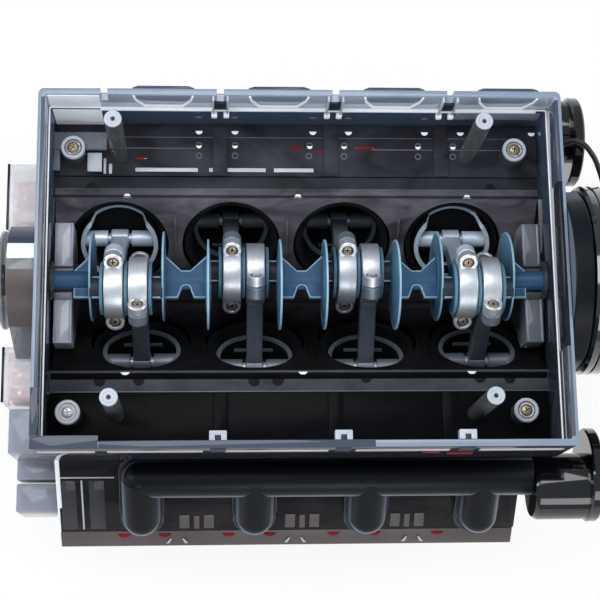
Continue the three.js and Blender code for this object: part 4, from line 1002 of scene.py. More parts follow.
@dataclass
class RodAndPiston:
    """One cylinder's piston, wrist pin, connecting rod, rod cap and its two screws.

    Attributes:
        bank: the row that it belongs to.
        index: its place in the row, from 0.
        screw: the screw head that both of its screws share.
    """

    bank: Bank
    index: int
    screw: ScrewHead
    ring: float = 10.4
    bore: float = 7.2
    half_width: float = 3.2
    boss: float = 3.25
    boss_reach: float = 11.6
    rod_boss: float = 4.6
    cap_boss: float = 3.6
    split_gap: float = 0.3
    small_end: float = 3.4
    small_half: float = 3.1
    piston: float = 13.8
    crown: float = 8.0
    rim_low: float = -1.0
    rim_high: float = 5.0
    rim_depth: float = 0.9

    def build(self) -> None:
        """Builds the four solids and the screws on their two bodies."""
        name = f"{self.bank.label}_{self.index + 1}"
        small, tilt = self.pose()
        place = at(self.bank.cylinder(self.index), *small)
        rod_place = place @ Matrix.Rotation(tilt, 4, "X")
        bore_place = place @ Matrix.Rotation(self.bank.value * BANK_ANGLE, 4, "X")
        self.rod(rod_place, name)
        self.cap(rod_place, name)
        self.cup(bore_place, name)
        pin = Shape().bar(1.9, -12.2, 12.2, bore_place @ TURN_X, bevel=0.3)
        pin.piece(f"wrist_pin_{name}_dressed", BRIGHT, f"piston_{name}", [f"wrist_pin_{name}"],
                  "silver_metal")

    def pose(self) -> tuple[Point, float]:
        """Where the wrist pin is at rest, as (y, z), and the rod's lean."""
        big_y, big_z = throw(self.index, CRANK_THROW - BIG_END_LEAD)
        down_y = self.bank.value * math.sin(BANK_ANGLE)
        down_z = -math.cos(BANK_ANGLE)
        along = big_y * down_y + big_z * down_z
        across = big_y ** 2 + big_z ** 2 - along ** 2
        reach = along + math.sqrt(ROD_LENGTH ** 2 - across)
        y, z = reach * down_y, reach * down_z
        return (y, z), math.atan2(y - big_y, big_z - z)

    def rod(self, place: Matrix, name: str) -> None:
        """The rod: a tapered shank with a round small end and half of the big end."""
        split = ROD_LENGTH - self.split_gap / 2
        shape = Shape()
        r, h = self.small_end, self.small_half
        ring = [(r - 0.35, -h), (r, -h + 0.35), (r, h - 0.35), (r - 0.35, h), (2.2, h), (2.2, -h)]
        shape.spun(ring, place @ TURN_X, steps=48, closed=True)
        root = split - math.sqrt(self.ring ** 2 - 3.6 ** 2) + 0.4
        taper = (3.6 - 2.3) / (ROD_LENGTH - self.ring + 2)
        wide = 2.3 + taper * root
        foot = math.sqrt(self.small_end ** 2 - 2.3 ** 2) - 0.2
        shank = [(-2.35, foot), (2.35, foot), (wide, root - 2.4), (wide + 1.5, root), (-wide - 1.5, root),
                 (-wide, root - 2.4)]
        shape.plate(shank, -2.85, 2.85, place @ SIDEWAYS, bevel=0.55, segments=3)
        outline = arc(self.ring, -180, 0, 0, split, 32) + arc(self.bore, 0, -180, 0, split, 32)
        shape.plate(outline, -self.half_width, self.half_width, place @ SIDEWAYS, bevel=0.4)
        b, low = self.boss, split - self.rod_boss
        boss = [(0, low), (b - 0.6, low), (b, low + 0.6), (b, split - 0.2), (b - 0.2, split), (0, split)]
        for end in BOTH:
            shape.spun(boss, place @ at(0, end * self.boss_reach, 0), steps=40)
        # The outer rear rods take a lit copy of the grey: painted light.
        metal = ROD_LIT if self.bank is Bank.REAR and self.index in (0, 3) else ROD
        shape.piece(f"connecting_rod_{name}_dressed", metal, f"rod_{name}", [f"connecting_rod_{name}"],
                    "grey_metal")

    def cap(self, place: Matrix, name: str) -> None:
        """The cap: half of the big end with a stepped boss for each screw, and the two screws."""
        split = ROD_LENGTH + self.split_gap / 2
        top = split + self.cap_boss
        outline = arc(self.ring, 0, 180, 0, split, 40) + arc(self.bore, 180, 0, 0, split, 40)
        shape = Shape().plate(outline, -self.half_width, self.half_width, place @ SIDEWAYS, bevel=0.45,
                              segments=3)
        screws, wells = Shape(), Shape()
        b = self.boss
        boss = [(0, split), (b - 0.2, split), (b, split + 0.2), (b, top - 0.35), (b - 0.35, top),
                (2.2, top), (2.0, top - 0.2), (2.0, top - 1.3), (0, top - 1.3)]
        for end in BOTH:
            seat = place @ at(0, end * self.boss_reach, 0)
            shape.spun(boss, seat, steps=48)
            # A near black disc at the bottom of the recess round the screw: painted shade.
            wells.bar(1.98, top - 1.3, top - 1.15, seat, bevel=0)
            screws.stamp(self.screw.head(), seat @ at(0, 0, top - 1.0) @ Matrix.Rotation(0.5 + end, 4, "Z"))
        shape.piece(f"rod_cap_{name}_dressed", SILVER, f"rod_{name}", [f"rod_cap_{name}"], "silver_metal")
        screws.piece(f"rod_screws_{name}", BRASS, f"rod_{name}", slot="silver_metal", sharp=50)
        wells.piece(f"screw_wells_{name}", HOLE_SHADE, f"rod_{name}", slot="silver_metal")

    def rim(self, x: float, across: float) -> float:
        """How high the piston's rim stands: low on its outer side, high at the bosses and by the valley."""
        share = (abs(x) - 8.2) / 1.6 if across > 0 else 1.0
        return self.rim_low + (self.rim_high - self.rim_low) * max(0.0, min(1.0, share))

    def cup(self, place: Matrix, name: str) -> None:
        """The piston: a thin cup with ring grooves, painted near black as shadow, with its rim and a tube
        on each side.
        """
        r, low = self.piston, -self.crown
        wall, sunk = r - 1.5, r - 0.6
        outer = [(0, low), (r - 0.8, low), (r - 0.2, low + 0.2), (r, low + 0.8)]
        for groove in (low + 1.4, low + 3.0):
            outer += [(r, groove), (sunk, groove + 0.05), (sunk, groove + 0.6), (r, groove + 0.65)]
        edge = [(r, self.rim_low), (r - 0.12, 0), (wall, 0), (wall - 0.1, self.rim_low)]
        inner = [(wall, low + 4), (wall - 0.6, low + 3.4), (0, low + 3.4)]
        # The body is painted near black: painted shadow in the cup.
        body = self.waved(outer + [(r, self.rim_low), (wall, self.rim_low)] + inner, -0.5, False)
        Shape().take(body, place, fix=True).piece(f"piston_{name}_dressed", PISTON_SHADOW, f"piston_{name}",
                                                  [f"piston_{name}"], "silver_metal")
        shape = Shape().take(self.waved(edge, 0, True), place, fix=True)
        tube = [(2.2, 4.2), (2.75, 4.2), (2.95, 4.4), (2.95, 12.6), (2.2, 12.6)]
        for end in (0, math.pi):
            turned = place @ Matrix.Rotation(end, 4, "Z")
            shape.spun(tube, turned @ TURN_X, steps=40, closed=True)
        shape.block((-7, -self.bank.value * 9.6, 0), (7, -self.bank.value * 10.4, 1.3), 0.2, place)
        # Lit and shaded copies of the rim's metal: painted light and painted shade.
        metal = PISTON_RIM_SHADED if self.index in (1, 2) else PISTON_RIM_LIT
        if self.bank is Bank.FRONT:
            metal = PISTON_RIM_HALF_SHADED
        shape.piece(f"piston_rim_{name}", metal, f"piston_{name}", slot="silver_metal")

    def waved(self, profile: Sequence[Point], drop: float, closed: bool) -> bmesh.types.BMesh:
        """Turns a profile round the bore's line, with its upper points raised to the piston's rim.

        Args:
            profile: (radius, height) points; those above the low rim follow it.
            drop: how far under the rim they stay.
            closed: true where the outline comes back to its first point.

        Returns:
            The mesh.
        """
        part = bmesh.new()
        points = [part.verts.new((r, 0, z)) for r, z in profile]
        pairs = zip(points, points[1:] + (points[:1] if closed else []))
        edges = [part.edges.new(pair) for pair in pairs]
        bmesh.ops.spin(part, geom=points + edges, cent=(0, 0, 0), axis=(0, 0, 1), angle=2 * math.pi,
                       steps=120, use_merge=True)
        for vert in part.verts:
            if vert.co.z > self.rim_low - 0.01:
                under = self.rim_depth if closed and vert.co.z < -0.5 else 0
                vert.co.z = self.rim(vert.co.x, vert.co.y * self.bank.value) + drop - under
        return part


@dataclass(frozen=True)
class PostRow:
    """Four equal posts, one towards each corner of the crankcase.

    Attributes:
        reach: half the distance between them along the crankshaft.
        shift: how far their middle is off the crankshaft's.
        across: half the distance between them across.
        radius: their radius.
        top: how high they stand.
    """

    reach: float
    shift: float
    across: float
    radius: float
    top: float

    def places(self) -> Iterator[tuple[int, int, Matrix]]:
        """Each post's end and side, as signs, and its place."""
        for end in BOTH:
            for side in BOTH:
                yield end, side, at(end * self.reach + self.shift, side * self.across, 0)


@dataclass
class Crankcase:
    """The clear wall round the open crankcase, with its pads, clips, tabs, posts and floor.

    Attributes:
        screw: the screw head used in the corner posts.
        half: half its width outside.
        wall: the wall's thickness at the rim.
        foot_wall: its thickness under the ledge.
        ledge: the height of the ledge.
        rim: the height of the rim.
        floor_top: the height of the floor's upper face.
        floor_under: the height of its lower face.
        rail: where the floor starts across.
        pad_half: half the width of a grip pad.
        notch_half: half the width of a notch in the back wall.
        notch_depth: how deep the notches are.
        tabs: where the front wall's tabs are.
        corner_post: the short posts with the screws.
        tall_post: the posts for the sump.
    """

    screw: ScrewHead
    half: float = 61.2
    wall: float = 2.4
    foot_wall: float = 3.2
    ledge: float = 12.0
    rim: float = 24.0
    floor_top: float = -3.0
    floor_under: float = -5.0
    rail: float = 38.7
    pad_half: float = 10.5
    notch_half: float = 1.2
    notch_depth: float = 5.5
    tabs: tuple[float, ...] = (-29.1, 11.7, 52.3)
    corner_post: PostRow = PostRow(77.6, -1.7, 46.5, 4.2, 5.3)
    tall_post: PostRow = PostRow(61.7, -1.9, 46.3, 2.9, 35.4)

    def build(self) -> None:
        """Builds the walls, the floor and everything on them."""
        self.walls()
        self.front_face()
        self.wall_shading()
        self.foot()
        self.floor()
        self.pads()
        self.posts()
        self.marks()

    def walls(self) -> None:
        """The upright walls, with four notches in the back one."""
        upper = self.wall_round(0, self.wall, self.ledge, self.rim, 2.2, 0.35)
        upper.cut(self.gaps(self.rim - self.notch_depth))
        upper.piece("crankcase_walls", WALL, stands_for=["crankcase_skirt"])

    def wall_round(self, inset: float, wall: float, low: float, high: float, corner: float,
                   bevel: float) -> Shape:
        """A wall that follows the crankcase's outline at a distance inside it."""
        half = ((CASE_RIGHT - CASE_LEFT) / 2 - inset, self.half - inset)
        middle = at((CASE_LEFT + CASE_RIGHT) / 2, 0, 0)
        return Shape().ring_frame(half, wall, low, high, corner, bevel, middle)

    def foot(self) -> None:
        """The thicker foot with a shaft hole at each end, the painted highlight lines on the rim and the
        ledge above it, and the corner painted bright as light.
        """
        foot = self.wall_round(0, self.foot_wall, self.floor_under, self.ledge - 0.02, 2.2, 0.3)
        holes = Shape().bar(SHAFT_HOLE, CASE_LEFT - 2, CASE_LEFT + 6, TURN_X, bevel=0)
        holes.bar(SHAFT_HOLE, CASE_RIGHT - 6, CASE_RIGHT + 2, TURN_X, bevel=0)
        foot.cut(holes).piece("crankcase_foot", FOOT)
        # A pale line round the rim's top: painted highlight.
        lip = self.wall_round(0.08, self.wall - 0.16, self.rim - 0.3, self.rim + 0.03, 2.1, 0.1)
        lip.cut(self.gaps(self.rim - 2)).piece("crankcase_rim_highlight", RIM_LIT)
        # A white line along the ledge: painted highlight.
        line = self.wall_round(2.45, 0.5, self.ledge, self.ledge + 0.45, 0.6, 0.15)
        line.piece("ledge_highlight", PALE)
        # Bright blocks in the back wall's left corner: painted light.
        end = NOTCHES[0] - 1.6
        corner = Shape().block((CASE_LEFT + 3.6, self.half - self.foot_wall - 0.3, self.floor_top),
                               (end, self.half - self.foot_wall - 0.02, self.ledge - 0.3), 0.1)
        corner.block((CASE_LEFT + 3, self.half - self.wall - 0.3, self.ledge + 0.6),
                     (end, self.half - self.wall - 0.02, self.rim - 0.6), 0.1)
        corner.block((CASE_LEFT + 2, self.half - 1, self.rim - 3), (end, self.half + 1.6, self.rim), 0.4)
        corner.block((NOTCHES[0] - 2, self.half - 3.6, self.ledge - 0.8),
                     (WELL_RIGHT - 3, self.half - 2.3, self.ledge + 0.4), 0.3)
        corner.piece("painted_light_corner", HIGHLIGHT_WHITE)

    def front_face(self) -> None:
        """The front wall's painted shade, a dark sheet on its face and a shaded slate rim, and the pale
        line under the rim.
        """
        dark, rim, pale = Shape(), Shape(), Shape()
        front = -self.half
        # A dark sheet on the front wall's face: painted shade.
        dark.block((CASE_LEFT + 1.4, front - 0.12, self.floor_under),
                   (CASE_RIGHT - 1.4, front + 0.1, self.rim - 0.4), 0.05)
        # The front rim in the shaded copy of the rim's clear: painted shade.
        for x0, x1, wide in ((CASE_LEFT + 0.1, NOTCHES[0], 4.3), (NOTCHES[0] + 0.05, 22, self.wall + 0.1)):
            rim.block((x0, front - 0.1, self.rim - 0.5), (x1, front + wide, self.rim + 0.06), 0.12)
        rim.block((CASE_LEFT - 0.06, front + 4.25, self.rim - 0.5),
                  (CASE_LEFT + self.wall, front + 20, self.rim + 0.06), 0.12)
        for x0, x1 in ((CASE_LEFT + 2, -69), (-65, -34), (-27, 7), (16, 47), (57, CASE_RIGHT - 4)):
            pale.block((x0, front - 0.3, 15), (x1, front - 0.1, 19.5), 0.08)
        dark.piece("front_face", SHADE)
        rim.piece("front_rim", RIM_SHADED)
        pale.piece("front_line", PINKISH)

    def wall_shading(self) -> None:
        """Painted shade and light on the end walls, their rims and the back wall's right end, seen from
        inside.
        """
        slate, dark, pale, grey = (Shape() for _ in range(4))
        # Blocks laid on the walls' inner faces and rims in lit and shaded copies of their clear: painted
        # shade and painted light.
        inside = CASE_RIGHT - self.wall
        for shape, y0, y1 in ((slate, 29, 57.5), (dark, -28, 28.9)):
            shape.block((inside - 0.25, y0, self.ledge + 0.5), (inside + 0.02, y1, self.rim - 0.15), 0.05)
        left, right = CASE_LEFT + 1.1, inside + 0.02
        for shape, x, y0, y1 in ((grey, left, -56, 58), (slate, right, 29, 58), (dark, right, -28, 29),
                                 (grey, right, -58, -28)):
            shape.block((x, y0, self.rim - 0.3), (x + self.wall - 1.12, y1, self.rim + 0.05), 0.05)
        grey.piece("wall_rim_painted_shade_grey", RIM_HALF_SHADED)
        y = self.half - self.foot_wall
        pale.block((54.5, y - 0.25, 4.5), (WELL_RIGHT - 1, y + 0.02, self.ledge - 1.2), 0.05)
        slate.piece("wall_painted_shade_slate", RIM_SHADED)
        dark.piece("wall_painted_shade_dark", SHADE)
        pale.piece("wall_painted_light_pale", RIM_LIT)

    def gaps(self, low: float) -> Shape:
        """The tool that cuts the notches in the back wall, from a height upwards."""
        tools = Shape()
        for x in NOTCHES:
            tools.block((x - self.notch_half, self.half - 4, low),
                        (x + self.notch_half, self.half + 2, self.rim + 1), 0)
        return tools

    def floor(self) -> None:
        """The two long channels beside the banks: dark floors, broad cross ribs and fine lines."""
        shape, lines, bands = Shape(), Shape(), Shape()
        inside = self.half - self.foot_wall - 0.02
        for side in BOTH:
            near, far = side * self.rail, side * inside
            shape.block((WELL_LEFT, near, self.floor_under), (WELL_RIGHT, far, self.floor_top), 0.2)
            for x in NOTCHES[1:]:
                shape.block((x - 2.6, near, self.floor_top - 0.1), (x + 2.6, far, self.floor_top + 0.7),
                            0.3)
        low, top = self.floor_top - 0.2, self.floor_top + 0.12
        for x0, x1, y, wide in ((-72, 48, 53.1, 0.25), (50, 75, 53.1, 0.25), (-75, -37, 49, 0.3),
                                (26, 48, 48.8, 0.35), (54, 75, 48.8, 0.35),
                                (WELL_LEFT, WELL_RIGHT, -38.4, 0.4)):
            lines.block((x0, y - wide / 2, low), (x1, y + wide / 2, top), 0.05)
        for x0, x1 in ((-58, -36), (-32, -12), (-9, 5)):
            bands.block((x0, 40.3, low), (x1, 41.7, top), 0.1)
        for x0, x1, y in ((20.5, 26.8, 49.9), (-76, -70, 47), (-57.5, -54, 45.5), (6.8, 10, 48.2)):
            bands.block((x0, y - 0.5, low), (x1, y - 0.3, top), 0.05)
        shape.piece("channel_floors", FLOOR)
        lines.piece("channel_lines", DIM)
        bands.piece("channel_bands", FROST)
        glints = Shape()
        for x0, x1, y in ((20.6, 26.6, 49.5), (-75, -71, 46.4), (-58, -55, 45.2), (6.5, 9.5, 48.1),
                          (-3, 1, 49.4)):
            glints.block((x0, y - 0.45, low), (x1, y + 0.45, top + 0.1), 0.15)
        for x0, x1, z in ((38.8, 44.5, 12.5), (47.4, 56, 9)):
            glints.block((x0, -self.half - 0.5, z - 2), (x1, -self.half + 0.1, z + 2), 0.2)
        glints.piece("red_glints", DULL_RED, slot="red_plastic")

    def pads(self) -> None:
        """The grip pads, pockets and clips on the back wall, and the front wall's tabs, with painted
        highlights on the pockets' edges and under the clips, and dark sheets of painted shade behind clips
        and tabs.
        """
        pads, pockets, clips, bright, dark = (Shape() for _ in range(5))
        back, inner = self.half, self.half - self.wall
        half = self.pad_half
        outline = [(-half, 0), (half, 0), (half, 0.3), (half - 2, 1.0), (2 - half, 1.0), (-half, 0.3)]
        for x in NOTCHES:
            pads.plate(outline, self.rim - 6, self.rim, at(x + 20, back - 0.05, 0), bevel=0.2)
            wall = at(x + 20, inner, 0) @ TO_WALL
            # A pale face in each pocket, in the lit copy of the rim's clear: painted light.
            pockets.plate([(-10, 23.6), (-9, 19.4), (-6.3, 14.4), (6.3, 14.4), (9, 19.4), (10, 23.6)], 0,
                          0.12, wall, bevel=0.05)
            # A white outline round each pocket: painted highlight.
            bright.plate([(-10.3, 23.6), (-9.7, 19.2), (-6.6, 13.2), (6.6, 13.2), (9.7, 19.2), (10.3, 23.6),
                          (9.7, 23.6), (9, 19.8), (6.2, 15), (-6.2, 15), (-9, 19.8), (-9.7, 23.6)], 0, 0.45,
                         wall, bevel=0.12)
        for x in NOTCHES[1:]:
            for end in BOTH:
                clips.block((x + end * 2.8, inner - 1.9, 10.4), (x + end * 2.1, inner + 0.05, self.rim),
                            0.2)
                # Pale blocks under the clips: painted highlights.
                bright.block((x + end * 3.1, inner - 2.4, 7.6), (x + end * 1.1, inner - 0.6, 10.2), 0.35)
            # Dark sheets behind the clips: painted shade.
            dark.block((x - 2.1, inner - 0.9, 10), (x + 2.1, inner - 0.02, self.rim - self.notch_depth),
                       0.2)
        near, far = 0.1 - inner, 3.3 - inner
        for x in self.tabs:
            clips.block((x - 2.85, far - 1.5, self.rim - 4), (x + 2.85, far, self.rim), 0.25)
            for end in BOTH:
                clips.block((x + end * 2.85, near, self.rim - 4), (x + end, far - 1.4, self.rim - 0.02),
                            0.2)
            # Dark sheets at each tab: painted shade.
            dark.block((x - 0.95, near - 0.9, self.rim - 3), (x + 0.95, far - 1.55, self.rim - 0.4), 0.1)
            dark.block((x - 2.6, -back - 0.5, self.rim - 7), (x + 2.6, -back + 0.4, self.rim - 0.3), 0.2)
        left, right, low = CASE_LEFT + 3, NOTCHES[0] - 0.3, self.rim - 1.5
        clips.block((left, 0.9 - inner, low), (right, 1.4 - inner, self.rim), 0.15)
        # A dark sheet along the front wall's left end: painted shade.
        dark.block((left, -inner - 0.1, low), (right, 1.0 - inner, self.rim - 0.1), 0.1)
        # The pads take the shaded copy of the rim's clear, and the pockets the lit copy: painted shade and
        # painted light.
        pads.piece("grip_pads", RIM_SHADED)
        pockets.piece("pocket_faces", RIM_LIT)
        clips.piece("wall_clips", FROST)
        bright.piece("pale_highlights", PALE)
        dark.piece("clip_painted_shade", NAVY)

    def posts(self) -> None:
        """The corner posts with their screws, and the four tall posts for the sump."""
        tubes, tops, heads, hubs, holes, steel = (Shape() for _ in range(6))
        r, top = self.corner_post.radius, self.corner_post.top
        for end, side, place in self.corner_post.places():
            tubes.bar(r - 0.05, self.floor_top, top - 0.5, place)
            tops.spun([(3.0, top - 1.4), (3.0, top - 0.25), (3.25, top), (r - 0.35, top), (r, top - 0.35),
                       (r, top - 1.4)], place, steps=64, closed=True)
            silver = end < 0 and side < 0
            (hubs if silver else tubes).spun([(0, top - 1.3), (2.95, top - 1.3), (2.95, top - 0.75),
                                              (2.7, top - 0.6), (0, top - 0.6)], place, steps=48)
            hubs.spun([(2.15, top - 0.9), (2.6, top - 0.9), (2.6, top - 0.5), (2.15, top - 0.5)], place,
                      steps=48, closed=True)
            seat = place @ at(0, 0, top - 0.75) @ Matrix.Rotation(end + side * 0.4, 4, "Z")
            (steel if silver else heads).stamp(self.screw.head(), seat)
            if end < 0 < side:
                well = Shape().bar(r + 0.15, -1, 4, place, bevel=0)
        shelf = Shape().block((WELL_LEFT, 46.8, 0.6), (-67.8, 53.2, 2), 0.3)
        shelf.cut(well).block((WELL_LEFT, 39.2, 0.6), (-84, 46.7, 2), 0.3)
        tops.block((-74.6, 39.4, -1), (-69.6, 46.2, 0), 0.2)
        tops.block((-69.2, 39.4, -3.1), (-68.3, 45, -2.6), 0.1)
        tops.block((-67.3, 39.4, -3.1), (-66.2, 43, -2.6), 0.1)
        shelf.piece("corner_shelf", SHELF)
        r, top = self.tall_post.radius, self.tall_post.top
        for _, _, place in self.tall_post.places():
            tubes.bar(r, self.floor_under - 6.4, top - 0.6, place)
            tops.spun([(1.8, top - 0.8), (1.8, top - 0.2), (2.0, top), (r - 0.35, top), (r, top - 0.35),
                       (r, top - 0.8)], place, steps=48, closed=True)
            tops.spun([(0.7, top - 1.0), (1.75, top - 1.0), (1.75, top - 0.1), (1.0, top - 0.1),
                       (0.7, top - 0.5)], place, steps=40, closed=True)
            # A near black disc in each post's hole: painted shade.
            holes.bar(0.72, top - 1.1, top - 0.7, place, bevel=0.05, sides=24)
        # Near black discs in the floor's holes: painted shade.
        for x, y in ((-69.4, -34.5), (-56.1, -34.3), (-16.6, -34.6), (-8.4, -34.5), (22.1, -33.6),
                     (61.8, -33.7), (72.2, -34), (-73.1, 34.3), (68.1, 34.2)):
            holes.bar(2.05, -3.3, -2.95, at(x, y, -0.05), bevel=0.05, sides=32)
        tubes.piece("screw_posts", POST)
        tops.piece("post_tops", FROST)
        hubs.piece("post_hubs", PALE, slot="silver_metal")
        steel.piece("corner_screw_silver", STEEL, slot="silver_metal", sharp=50)
        heads.piece("corner_screws", BRASS, slot="silver_metal", sharp=50)
        holes.piece("post_hole_shade", HOLE_SHADE)

    def marks(self) -> None:
        """The white half-moon rivets in the rear channel, and the snap marks and lines on the banks."""
        shape, faint = Shape(), Shape()
        moon = arc(1.25, 180, 360, steps=12)
        for row, y, places in ((1.0, 55.5, (-35.6, -22.8, 5, 17.8, 45.2, 58.2, 84)),
                               (0.8, 50, (-35.6, -22.8, 3.8, 16.1, 42.7, 55.3))):
            for x in places:
                shape.plate([(u * row, v * row) for u, v in moon], -3.1, -2.75, at(x, y, 0), bevel=0.1)
        for y, places in ((50.2, (-35.6, -22.8, 3.8, 16.1, 42.7, 55.3)),
                          (46.3, (-35.6, -22.8, 3.5, 16, 42.6, 55.1))):
            for x in places:
                faint.spun([(0.8, -3.1), (1.15, -3.1), (1.15, -2.8), (0.8, -2.8)], at(x, y, 0), steps=24,
                           closed=True)
        for bank, across, places in ((Bank.REAR, 19.4, (-60.8, -0.6, 59.7)),
                                     (Bank.FRONT, 20.4, (-60.7, 0.3, 59))):
            turn = bank.place()
            for x in places:
                shape.plate([(-1.6, 0), (1.6, 0), (0.7, 1.3), (-0.7, 1.3)], MOUTH - 0.35, MOUTH + 0.2,
                            turn @ at(x, across, 0), bevel=0.15)
            faint.block((WELL_LEFT + 2, across - 0.2, MOUTH - 0.12), (WELL_RIGHT - 2, across, MOUTH + 0.2),
                        0.04, turn)
        shape.piece("white_marks", PALE, slot="silver_metal")
        faint.piece("faint_marks", DIM)


@dataclass
class Block:
    """The two banks of dark clear plates, with the cam bearings in the valley and the bearing pedestals.

    Attributes:
        half: half the width of a bank.
        plate: the plates' thickness.
        hole: the radius of the liners' holes.
        rail_inner: where the rail beside each bank starts across.
        rail_outer: where it ends.
        web_foot: how deep the cam bearings' webs reach.
    """

    half: float = 20.0
    plate: float = 2.0
    hole: float = 17.6
    rail_inner: float = 31.0
    rail_outer: float = 38.4
    web_foot: float = 51.5

    def build(self) -> None:
        """Builds the banks and the pedestals."""
        shape, rails = Shape(), Shape()
        out = self.half + self.plate
        face, deck = MOUTH + self.plate, DECK - self.plate
        left, right = self.inner_face(-1), self.inner_face(1)
        for bank in Bank:
            turn = bank.place() @ SIDEWAYS
            for outline in ([(-MOUTH, MOUTH), (out, MOUTH), (self.half, face), (-face, face)],
                            [(-self.half, deck), (self.half, deck), (out, DECK), (-out, DECK)]):
                plate = Shape().plate(outline, left, right, turn, bevel=0.25)
                holes = Shape()
                for i in CYLINDERS:
                    holes.bar(self.hole, MOUTH - 3, DECK + 3, bank.bore(i), bevel=0, sides=96)
                shape.join(plate.cut(holes))
            shape.plate([(out, MOUTH), (out, DECK), (self.half, deck), (self.half, face)], left, right,
                        turn, bevel=0.25)
            shape.plate([(-out, face), (-self.half, face), (-self.half, deck), (-out, DECK)],
                        CASE_LEFT + 2.02, CASE_RIGHT - 2.02, turn, bevel=0.25)
            end = [(-MOUTH, MOUTH), (17.1, MOUTH), (out, 29.5), (out, DECK), (-out, DECK), (-out, face),
                   (-face, face)]
            for x0, x1 in ((CASE_LEFT, CASE_LEFT + 2), (CASE_RIGHT - 2, CASE_RIGHT)):
                shape.plate(end, x0, x1, turn, bevel=0.3)
            rails.block((CASE_LEFT + 0.1, bank.value * self.rail_inner, -5),
                        (CASE_RIGHT - 0.1, bank.value * self.rail_outer, -3.02), 0.25)
            rib = [(-12, MOUTH - 0.9), (12, MOUTH - 0.9), (12, MOUTH + 0.1), (-12, MOUTH + 0.1)]
            for i in CYLINDERS[:-1]:
                x = bank.cylinder(i) + BORE_SPACING / 2
                shape.plate(rib, x - 0.5, x + 0.5, turn, bevel=0.25)
        side = self.web_foot - 2 * self.half * math.cos(BANK_ANGLE)
        for x in (-81, 0, 81):
            web = Shape().plate([(0, -36.8), (side, -self.web_foot), (-side, -self.web_foot)], x - 1.5,
                                x + 1.5, SIDEWAYS)
            web.cut(Shape().bar(3.7, x - 4, x + 4, at(0, 0, CAM_DROP) @ TURN_X, bevel=0))
            shape.join(web)
        rails.piece("side_rails", RAIL)
        shape.piece("block_plates", BLOCK, stands_for=["cylinder_block"])
        for end, name in ((-1, "front"), (1, "rear")):
            self.pedestal(end, name)
            self.bush(end, name)

    @staticmethod
    def inner_face(end: int) -> float:
        """Where the inner face of an end wall is."""
        return WELL_LEFT + 0.3 if end < 0 else WELL_RIGHT - 0.3

    def pedestal(self, end: int, name: str) -> None:
        """The clear bracket that carries the shaft at one end, with a raised edge on each of its tabs."""
        outside = self.inner_face(end)
        x0, x1 = sorted((outside - end * 0.5, outside - end * 6.8))
        apex = 0.42 - MOUTH / math.cos(BANK_ANGLE)
        outline = [(-21.6, -2), (-6.4, -2), (-6.4, -4.4)] + arc(4.2, 200, 340, 0, 0, 16)
        outline += [(5.6, -4.4), (5.6, -2), (21.2, -2), (21.6, apex + 21.6), (0, apex),
                    (-21.6, apex + 21.6)]
        shape = Shape().plate(outline, x0, x1, SIDEWAYS, bevel=0.35)
        # The rear pedestal takes the shaded copy of the clear: painted shade.
        shape.piece(f"{name}_pedestal", TAB if end < 0 else TAB_SHADED,
                    stands_for=[f"{name}_bearing_pedestal"])
        edges = Shape()
        for side in BOTH:
            for x in (x0 + 0.7, x1 - 0.7):
                edges.block((x - 0.35, side * 6.2, -2.4), (x + 0.35, side * 21, -1.95), 0.15)
        edges.piece(f"{name}_pedestal_edges", RIM_LIT)

    def bush(self, end: int, name: str) -> None:
        """The flanged bush round the shaft in one end wall."""
        wall = CASE_LEFT if end < 0 else CASE_RIGHT
        inside = self.inner_face(end)
        tip = inside - end * 1.2
        profile = [(3.6, wall), (5.2, wall), (5.4, wall - end * 0.2), (5.4, inside), (6.4, inside),
                   (6.6, inside - end * 0.2), (6.6, inside - end), (6.4, tip), (3.6, tip)]
        shape = Shape().spun(profile, TURN_X, steps=64, closed=True)
        shape.piece(f"{name}_bush", POST, stands_for=[f"{name}_main_bush"], slot="silver_metal")


